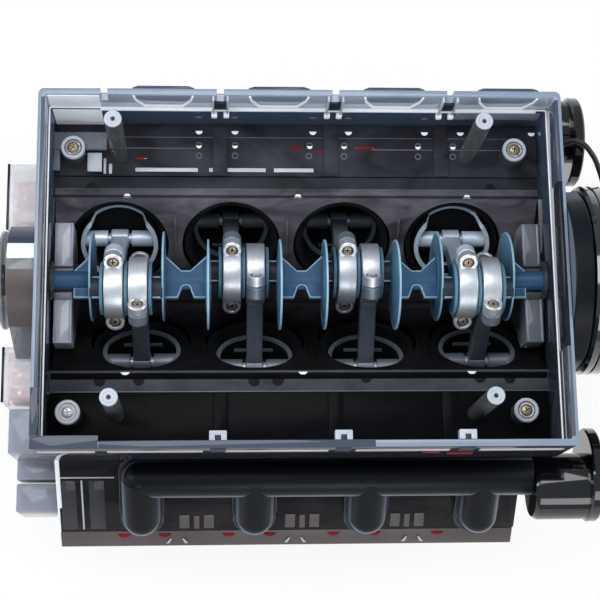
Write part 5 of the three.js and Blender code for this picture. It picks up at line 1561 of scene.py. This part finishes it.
@dataclass
class BankHousings:
    """What stands on one bank: the liners, the head, the red rocker row, the cover and the exhaust.

    Attributes:
        bank: the row that it belongs to.
        arms: how far each cylinder's two rocker arms stand from its middle.
    """

    bank: Bank
    arms: tuple[float, float] = (-6.7, 6.7)
    liner: float = 17.2
    bore: float = 14.2
    log_depth: float = 60.5
    log: float = 6.5
    stub: float = 6.6
    seam: float = 81.4

    def build(self) -> None:
        """Builds the pieces of this bank."""
        self.liners()
        self.head()
        self.springs()
        self.rockers()
        self.cover()
        self.manifold()
        self.outlet()

    def liners(self) -> None:
        """Four black liners with rounded mouths, hanging from their flange."""
        label = self.bank.label
        flange = Shape().plate([(-20, 55.3), (20, 55.3), (20, 56.8), (-20, 56.8)], HEAD_LEFT, HEAD_RIGHT,
                               self.bank.place() @ SIDEWAYS, bevel=0.3)
        holes = Shape()
        for i in CYLINDERS:
            holes.bar(self.bore + 0.4, 50, 60, self.bank.bore(i), bevel=0, sides=96)
        shape = flange.cut(holes)
        r, b = self.liner, self.bore
        for i in CYLINDERS:
            profile = [(b, 28.2), (b + 0.4, 27.5), (b + 0.8, 27.25), (b + 1.0, 27), (r - 0.5, 27),
                       (r, 27.5), (r, 55.4), (b + 0.3, 55.4), (b + 0.3, 56.7), (b, 56.7)]
            shape.spun(profile, self.bank.bore(i), steps=96, closed=True)
        shape.piece(f"liners_{label}", LINER, stands_for=[f"liner_block_{label}"],
                    slot="liner_black_plastic")

    def head(self) -> None:
        """The head: a clear trough with a ring at each port and bolt columns."""
        label = self.bank.label
        turn = self.bank.place()
        outline = [(HEAD_LEFT, -INTAKE_SIDE), (HEAD_RIGHT, -INTAKE_SIDE), (HEAD_RIGHT, EXHAUST_SIDE),
                   (HEAD_LEFT, EXHAUST_SIDE)]
        shape = Shape().cup(outline, HEAD_FACE, HEAD_TOP, 2, 3, turn, bevel=0.4)
        ports = Shape()
        side = EXHAUST_SIDE
        port = [(4.6, side - 0.9), (7.6, side - 0.9), (7.6, side + 2.1), (7.2, side + 2.5),
                (4.6, side + 2.5)]
        for i in CYLINDERS:
            ports.spun(port, self.bank.bore(i, 0, HEAD_TOP - 7.6) @ TURN_Y, steps=48, closed=True)
            for dx in (-14, 14):
                for across, top in ((-15.5, 79), (20.5, 74)):
                    ports.bar(2.6, 60, top, self.bank.bore(i, across, shift=dx), sides=32, tip=2.1)
        self.glimpses(turn)
        shape.piece(f"head_{label}", HEAD, stands_for=[f"cylinder_head_{label}"])
        ports.piece(f"head_columns_{label}", CASE)

    def glimpses(self, turn: Matrix) -> None:
        """What shows in the head's clear side: red tips, dull blocks, panes, pale lines, white strokes
        painted as glints and a bright edge line painted as a highlight.
        """
        label = self.bank.label
        reds, dull, pale, panes = (Shape() for _ in range(4))
        side = turn @ at(0, EXHAUST_SIDE, 0) @ SIDE_ON
        tip = [(u * 2.3, v * 1.7) for u, v in arc(1, 0, 180, steps=10)]
        base, reach = EXHAUST_SIDE - 0.1, EXHAUST_SIDE + 0.25
        middles = (-36.6, 1.6, 39.8)
        for x in [x + end * 11.6 for x in middles for end in BOTH] + [-62.8]:
            reds.plate(tip, -0.1, 0.3, side @ at(x, 91.3, 0), bevel=0.1)
        for x in middles:
            dull.block((x - 1, base, 83), (x + 1, reach, 89), 0.1, turn)
            for end in BOTH:
                block = x + end * 4.4
                dull.block((block - 1.8, base, 82.6), (block + 1.8, reach + 0.05, 88.8), 0.12, turn)
                # White strokes: painted glints.
                stroke = [(-1.6, 2.2), (0, 0), (0.5, 0), (-0.4, 2.2)]
                if end > 0:
                    stroke = [(-u, v) for u, v in reversed(stroke)]
                pale.plate(stroke, 0, 0.35, side @ at(x * 1.126 - 2.5 + end * 2.4, 93.4, 0.3), bevel=0.05)
        skirt = Shape().block((HEAD_LEFT + 0.4, EXHAUST_SIDE - 1.6, HEAD_TOP + 0.15),
                              (HEAD_RIGHT - 0.4, reach - 0.2, 97.4), 0.4, turn)
        skirt.piece(f"cover_skirt_{label}", BROWN)
        # A bright white line down the head's left edge: painted highlight.
        line, left = Shape(), HEAD_LEFT - 0.07
        for wide, low, high in ((1.5, 52, 79), (0.7, 79.1, 90)):
            line.block((left, EXHAUST_SIDE - 0.7, low), (HEAD_LEFT + wide, reach + 0.05, high), 0.2, turn)
        line.piece(f"head_line_{label}", HIGHLIGHT_WHITE)
        for x0, x1, low, high in ((HEAD_LEFT + 0.6, -65.5, 65, 65.5), (-77.4, -76.8, 66.5, 89)):
            pale.block((x0, base, low), (x1, reach, high), 0.15, turn)
        for x0, x1 in ((-84.6, -79.2), (-74.6, -69.2)):
            panes.block((x0, base, 66.6), (x1, reach - 0.08, 89), 0.12, turn)
        panes.piece(f"head_panes_{label}", POST)
        reds.piece(f"head_glimpses_{label}", DULL_RED, slot="red_plastic")
        dull.piece(f"head_blocks_{label}", BROWN)
        pale.piece(f"head_edges_{label}", FROST)

    def springs(self) -> None:
        """A valve stem with its coil spring and retainer under each end of every rocker arm."""
        shape = Shape()
        for i in CYLINDERS:
            for dx in self.arms:
                place = self.bank.bore(i, 6.2, shift=dx)
                shape.bar(0.8, 60.2, 80.6, place, sides=20)
                shape.bar(3.0, 78.6, 79.8, place, sides=32, tip=2.4)
                for coil in range(6):
                    z = 62 + coil * 2.8
                    shape.spun(arc(0.5, 0, 300, 2.35, z, 5), place @ Matrix.Rotation(0.12, 4, "X"),
                               steps=20, closed=True)
        shape.piece(f"valve_springs_{self.bank.label}", STEEL, slot="silver_metal")

    def rockers(self) -> None:
        """Eight red rocker arms, thick over their shaft and rounded at both tips."""
        label = self.bank.label
        turn = self.bank.place() @ SIDEWAYS
        shaft = self.bank.place() @ at(0, 0, 83) @ TURN_X
        shape = Shape().bar(2, HEAD_LEFT + 2.3, HEAD_RIGHT - 2.3, shaft, sides=32)
        for i in CYLINDERS:
            for dx in self.arms:
                x = self.bank.cylinder(i) + dx
                outline = [(-8, 81.6), (-6.6, 81), (-3, 81.2), (0, 80.9), (3, 81.2), (6.8, 81), (8, 81.8),
                           (7.6, 83.4), (3.2, 84.7), (0, 85), (-3.2, 84.8), (-7.4, 84.2)]
                shape.plate(outline, x - 2.2, x + 2.2, turn, bevel=0.5)
        shape.piece(f"rockers_{label}", RED, stands_for=[f"rocker_row_{label}"], slot="red_plastic",
                    sharp=50)

    def cover(self) -> None:
        """The rocker cover, as packed, with rounded edges."""
        label = self.bank.label
        shape = Shape().copied(f"rocker_cover_{label}", bevel=0.45)
        shape.piece(f"cover_{label}", CASE, stands_for=[f"rocker_cover_{label}"])

    def manifold(self) -> None:
        """The gloss black exhaust log with four round-ended stubs on a thin flange plate, whose pale edges
        are a painted highlight.
        """
        label = self.bank.label
        across = EXHAUST_SIDE + self.log + 0.5
        face = EXHAUST_SIDE + 2.8
        port = self.stub_end()
        turn = self.bank.place()
        shape = Shape()
        start = self.bank.cylinder(0)
        shape.bar(self.log, start, self.seam, turn @ at(0, across, self.log_depth) @ TURN_X, bevel=0.4,
                  sides=64)
        shape.ball(self.log, turn @ at(start, across, self.log_depth))
        dome = [(0, self.log_depth - 1), (self.stub, self.log_depth - 1)]
        dome += arc(self.stub, 0, 80, 0, port, 8) + [(0, port + self.stub)]
        for i in CYLINDERS:
            shape.spun(dome, self.bank.bore(i, across), steps=56)
        shape.piece(f"exhaust_log_{label}", GLOSS, stands_for=[f"exhaust_manifold_{label}"],
                    slot="gloss_black_plastic")
        # The flange's pale edges come from its finish: a painted highlight.
        plate = Shape().plate(self.flange_outline(port), face, face + 0.9, turn @ SIDE_ON, bevel=0.25)
        plate.piece(f"exhaust_flange_{label}", EDGED, slot="gloss_black_plastic")

    def stub_end(self) -> float:
        """Where the stubs' round ends are centred: those of the rear bank end under the crankcase's rim."""
        return HEAD_TOP - 12.4 if self.bank is Bank.FRONT else self.log_depth + 2.5

    def flange_outline(self, port: float) -> list[Point]:
        """The flange plate's outline: a little wider than the log and the stubs."""
        grow = 1.3
        r = self.stub + grow
        start, edge = self.bank.cylinder(0), self.log_depth + self.log + grow
        points = [(self.seam, 2 * self.log_depth - edge)]
        points += arc(self.log + grow, 270, 180, start, self.log_depth, 10)
        for i in CYLINDERS:
            x = self.bank.cylinder(i)
            if i:
                points += arc(2.2, 270, 360, x - r - 2.2, edge + 2.2, 5)
            points += arc(r, 180, 0, x, port - grow * 0.2 if self.bank is Bank.FRONT else port + 3, 20)
            if i < 3:
                points += arc(2.2, 180, 270, x + r + 2.2, edge + 2.2, 5)
        return points + [(x + r, edge), (self.seam, edge)]

    def outlet(self) -> None:
        """The wide outlet past the seam, with its flange disc and its bore."""
        label = self.bank.label
        s = self.bank.value
        log = self.bank.place() @ Vector((0, EXHAUST_SIDE + self.log + 0.5, self.log_depth))
        y, z = log.y + s * 3.2 - (7 if s > 0 else 0), log.z - 3.2
        a, b = self.seam + 0.3, 105.4
        barrel = [(0, a), (10.6, a), (11.1, a + 0.5), (11.7, a + 1.6), (11.7, b - 0.3), (11.4, b), (8.9, b),
                  (8.6, b - 0.3), (8.6, b - 3), (0, b - 3)]
        shape = Shape().spun(barrel, at(0, y, z) @ TURN_X, steps=96)
        disc = [(0, 100.6), (15.9, 100.6), (16.5, 101.2), (16.5, 104.0), (15.9, 104.6), (0, 104.6)]
        shape.spun(disc, at(0, y - s * 4, z) @ TURN_X, steps=96)
        shape.piece(f"outlet_{label}", SHINY, stands_for=[f"exhaust_outlet_{label}"],
                    slot="gloss_black_plastic")


@dataclass
class EndWorks:
    """The timing cover at the pulley end, the adaptor and motor at the other, and the intake between."""

    lead_radius: float = 1.0
    route: tuple = ((91.5, 41.8, -6), (91.7, 44.6, -5.6), (93, 48.2, -3.4), (96.2, 51, -0.4),
                    (100.4, 50.6, 1.4), (104.6, 46.8, 0.6), (108, 41, -2.4), (110.4, 34.4, -6.2),
                    (111.4, 28.6, -9), (111.6, 24.2, -10.4))

    def build(self) -> None:
        """Builds the pieces at both ends."""
        self.timing_cover()
        self.adaptor()
        self.motor()
        self.lead()
        self.intake()

    @staticmethod
    def timing_outline(inset: float) -> list[Point]:
        """The egg-shaped outline round both gears, at a distance inside the cover's face."""
        top, low = 18.5 - inset, 33.6 - inset
        lean = math.degrees(math.asin((top - low) / CAM_DROP))
        return arc(top, lean, 180 - lean, 0, 0, 30) + arc(low, 180 - lean, 360 + lean, 0, CAM_DROP, 48)

    def timing_cover(self) -> None:
        """The clear cover over the two gears, the boxes of red parts beside it and three boxes below."""
        back, front = -89.8, -99.4
        shape = Shape().cup(self.timing_outline(0), front, back, 1.8, 1.8, SIDEWAYS, bevel=0.4)
        shape.cut(Shape().bar(SHAFT_HOLE, front - 2, front + 4, TURN_X, bevel=0))
        boxes, reds, pins, dark, lower = (Shape() for _ in range(5))
        for side in BOTH:
            low, high = (22, 46.5) if side > 0 else (-40, -20.5)
            corners = [(low, -34), (high, -34), (high, -14), (low, -14)]
            boxes.cup(corners, -104, back, 1.8, 1.8, SIDEWAYS, bevel=0.5)
            for k in range(3):
                y = (low + high) / 2 + 6.3 * (k - 1)
                reds.block((-101.6, y - 2.2, -31), (-91, y + 2.2, -17.5 - 2.5 * k), 0.6)
                pins.bar(0.9, -31, -15.9, at(-98, y, 0), sides=20)
            for y in (low + 2.6, high - 2.6):
                for z in (-31.4, -16.6):
                    pins.bar(1.5, -104.02, -103.4, at(0, y, z) @ TURN_X, sides=24)
            dark.block((-104.25, low, -15), (-103.3, high, -13.9), 0.2)
        for low, high, top, end in ((-57.5, -42.2, -16, CASE_LEFT + 0.1),
                                    (-75.5, -65.4, -42, HEAD_LEFT + 0.1),
                                    (-64, -56.2, -42, HEAD_LEFT + 0.1)):
            lower.cup([(low, top - 24), (high, top - 24), (high, top), (low, top)], -101.5, end, 1.5, 1.5,
                      SIDEWAYS, bevel=0.5)
        lower.piece("lower_boxes", GREY_BOX)
        self.bands()
        dark.piece("box_edges", SHADE)
        shape.piece("timing_case", DRUM, stands_for=["timing_cover"])
        boxes.piece("side_boxes", WHITE_BOX)
        reds.piece("box_lamps", RED, slot="red_plastic")
        pins.piece("box_pins", STEEL, slot="silver_metal")

    @staticmethod
    def bands() -> None:
        """The painted reflection round the top of the timing cover: a bright band, and slate and brown
        bands of painted shade.
        """
        # Thin bands laid on the drum: a painted reflection and painted shade.
        for name, finish, low, high in (("bright", HIGHLIGHT_WHITE, 62, 80), ("slate", RIM_SHADED, 26, 61.6),
                                        ("brown", BROWN, 92, 160)):
            outline = arc(18.75, low, high, 0, 0, 12) + arc(18.52, high, low, 0, 0, 12)
            Shape().plate(outline, -99.2, -90, SIDEWAYS, bevel=0).piece(f"timing_band_{name}", finish)

    @staticmethod
    def adaptor() -> None:
        """The round black adaptor between the end wall and the flywheel."""
        a, b = 89.1, 95.7
        profile = [(8, a), (30.6, a), (31, a + 0.4), (31, b - 0.4), (30.6, b), (28.4, b), (28, b - 0.4),
                   (28, a + 3), (8, a + 3)]
        shape = Shape().spun(profile, TURN_X, steps=96, closed=True)
        for k in range(8):
            angle = math.radians(45 * k + 22.5)
            shape.bar(2.0, a + 2.8, b - 1.4, at(0, 23.5 * math.cos(angle), 23.5 * math.sin(angle)) @ TURN_X,
                      sides=32)
        shape.piece("adaptor", GLOSS, stands_for=["flywheel_adaptor"], slot="gloss_black_plastic")

    def motor(self) -> None:
        """The motor's can with its end ribs, and the strap that holds it."""
        a, b, r = 105.2, 118.0, 24.0
        profile = [(0, a + 2), (3.6, a + 2), (3.6, a), (r - 1.4, a), (r, a + 1.4), (r, b - 5),
                   (r - 0.5, b - 4.6), (r - 0.5, b - 4), (r, b - 3.6), (r, b - 1.6), (r - 1.6, b), (14, b),
                   (13.4, b - 0.6), (5, b - 0.6), (4.4, b), (0, b)]
        shape = Shape().spun(profile, TURN_X, steps=96)
        for k in range(5):
            angle = math.radians(36 * k - 18)
            shape.block((b - 0.7, -0.8, 6.5), (b - 0.05, 0.8, 12.4), 0.25,
                        Matrix.Rotation(angle * 2, 4, "X"))
        shape.block((89.1, -9, -36.6), (118, 9, -33.6), 0.6)
        shape.block((105.2, -9, -36.6), (118, 9, -10), 0.8)
        shape.piece("motor_can", SHINY, stands_for=["motor_housing"], slot="gloss_black_plastic")

    def lead(self) -> None:
        """The thin black lead that arches from its pale connector over the flywheel into the motor."""
        curve = bpy.data.curves.new("route", "CURVE")
        curve.dimensions = "3D"
        curve.bevel_depth = self.lead_radius - 0.03
        curve.bevel_resolution = 4
        curve.use_fill_caps = True
        curve.resolution_u = 10
        spline = curve.splines.new("BEZIER")
        spline.bezier_points.add(len(self.route) - 1)
        for point, place in zip(spline.bezier_points, self.route):
            point.co = place
            point.handle_left_type = point.handle_right_type = "AUTO"
        holder = bpy.data.objects.new("route", curve)
        store = bpy.data.meshes.new_from_object(holder)
        bpy.data.objects.remove(holder)
        shape = Shape().stamp(store, Matrix.Identity(4))
        shape.piece("lead", CABLE, stands_for=["power_lead"], slot="liner_black_plastic")
        plug = Shape().block((89.1, 33.5, -9.5), (95.4, 41.4, -2.5), 0.6)
        plug.block((95.2, 35, -8.4), (95.5, 40, -7.2), 0.1).block((95.2, 35, -4.8), (95.5, 40, -3.6), 0.1)
        plug.piece("connector", PALE, stands_for=["lead_connector"], slot="smoke_grey_plastic")

    @staticmethod
    def intake() -> None:
        """The ribbed black plenum in the valley, with its runners."""
        half = 60 + BANK_STAGGER / 2 + 5.6
        shape = Shape().plate([(-20, -60), (-36, -79), (36, -79), (20, -60)], -half, half, SIDEWAYS,
                              bevel=1.4, segments=4)
        for k in range(7):
            x = -54 + 18 * k
            shape.plate([(-26, -78.6), (26, -78.6), (26, -79.0), (-26, -79.0)], x - 1.2, x + 1.2, SIDEWAYS,
                        bevel=0.1)
        for bank in Bank:
            for i in CYLINDERS:
                shape.bar(5.6, -31.2, -20.3, bank.bore(i, 0, 69) @ TURN_Y, bevel=0.3)
        shape.piece("intake", GLOSS, stands_for=["intake_manifold"], slot="gloss_black_plastic")


@dataclass
class Studio:
    """The pale floor, the soft lights and the camera of the photograph.

    Attributes:
        eye: the camera's place, in millimetres from the middle of the crankshaft.
        tilt: how far it leans from straight down, in radians.
        pan: how far it turns sideways, in radians.
        roll: how far it turns about its own line of sight, in radians.
        lens: its focal length on a 36 mm sensor.
        floor_half: half the floor's side, in metres.
    """

    eye: Point = (-30.87, -121.9, 503.18)
    tilt: float = 0.2246
    pan: float = -0.0586
    roll: float = -0.0004
    lens: float = 89.57
    floor_half: float = 3.0

    def build(self) -> None:
        """Sets up the floor, the world, the lamps and the camera."""
        scene = bpy.context.scene
        scene.view_settings.view_transform = "Standard"
        self.floor()
        self.world(scene)
        self.lamp("top_box", (-90, 160, 620), 520, 330, 2.3)
        self.lamp("left_box", (-620, 60, 330), 300, 420, 2.1)
        self.lamp("right_box", (640, 40, 330), 300, 420, 1.9)
        self.lamp("front_box", (60, -620, 300), 520, 260, 1.6)
        self.camera(scene)

    def floor(self) -> None:
        """Lays a white floor that keeps a faint shadow."""
        part = bmesh.new()
        bmesh.ops.create_grid(part, x_segments=1, y_segments=1, size=self.floor_half)
        bmesh.ops.translate(part, vec=(0, 0, -0.0002), verts=part.verts)
        store = bpy.data.meshes.new("floor")
        part.to_mesh(store)
        part.free()
        thing = bpy.data.objects.new("floor", store)
        bpy.context.scene.collection.objects.link(thing)
        material = bpy.data.materials.new("pale_floor")
        material.use_nodes = True
        nodes, wires = material.node_tree.nodes, Wires(material.node_tree)
        shader = nodes["Principled BSDF"]
        shader.inputs["Base Color"].default_value = (0.9, 0.92, 0.95, 1)
        shader.inputs["Roughness"].default_value = 0.6
        shader.inputs["Specular IOR Level"].default_value = 0.2
        path = wires.add("LightPath").outputs
        seen = wires.sum("MAXIMUM", path["Is Camera Ray"], path["Is Glossy Ray"])
        also = wires.sum("MAXIMUM", seen, path["Is Transmission Ray"])
        glow = wires.add("Emission", {"Color": (1, 1, 1, 1), "Strength": 1.0})
        blend = wires.add("MixShader", {0: wires.sum("MULTIPLY", also, 0.88), 1: shader.outputs[0],
                                        2: glow.outputs[0]})
        wires.tree.links.new(blend.outputs[0], nodes["Material Output"].inputs["Surface"])
        store.materials.append(material)

    @staticmethod
    def world(scene: bpy.types.Scene) -> None:
        """Gives a soft pale room light."""
        world = bpy.data.worlds.new("room")
        world.use_nodes = True
        back = world.node_tree.nodes["Background"]
        back.inputs["Color"].default_value = (0.86, 0.93, 1.0, 1)
        back.inputs["Strength"].default_value = 0.5
        scene.world = world

    @staticmethod
    def lamp(name: str, place: Point, wide: float, high: float, power: float) -> None:
        """Hangs one soft box that faces the middle of the engine; sizes are in millimetres."""
        data = bpy.data.lights.new(name, "AREA")
        data.shape = "RECTANGLE"
        data.size = wide / MM
        data.size_y = high / MM
        data.energy = power
        thing = bpy.data.objects.new(name, data)
        spot = (Vector(place) + AXIS) / MM
        thing.location = spot
        thing.rotation_mode = "QUATERNION"
        thing.rotation_quaternion = (AXIS / MM - spot).to_track_quat("-Z", "Y")
        bpy.context.scene.collection.objects.link(thing)

    def camera(self, scene: bpy.types.Scene) -> None:
        """Stands the camera where the photograph was taken from."""
        data = bpy.data.cameras.new("camera")
        data.lens = self.lens
        data.sensor_width = 36
        data.clip_start = 0.01
        data.clip_end = 20
        thing = bpy.data.objects.new("camera", data)
        turn = Matrix.Identity(4)
        for angle, axis in ((self.tilt, "X"), (self.pan, "Y"), (self.roll, "Z")):
            turn = turn @ Matrix.Rotation(angle, 4, axis)
        thing.matrix_world = Matrix.Translation((Vector(self.eye) + AXIS) / MM) @ turn
        scene.collection.objects.link(thing)
        scene.camera = thing


def main() -> None:
    """Builds the studio and every sub-assembly in order."""
    logging.basicConfig(level=logging.INFO, format="%(name)s: %(message)s")
    Studio().build()
    CrankTrain().build()
    screw = ScrewHead(radius=2.05, height=0.7, arm=1.2, slot=0.3)
    small_screw = ScrewHead(radius=1.75, height=0.5, arm=1.0, slot=0.28, depth=0.9)
    for bank in Bank:
        for index in CYLINDERS:
            RodAndPiston(bank, index, small_screw).build()
    Crankcase(screw).build()
    Block().build()
    for bank in Bank:
        BankHousings(bank).build()
    EndWorks().build()


if __name__ == "__main__":
    main()
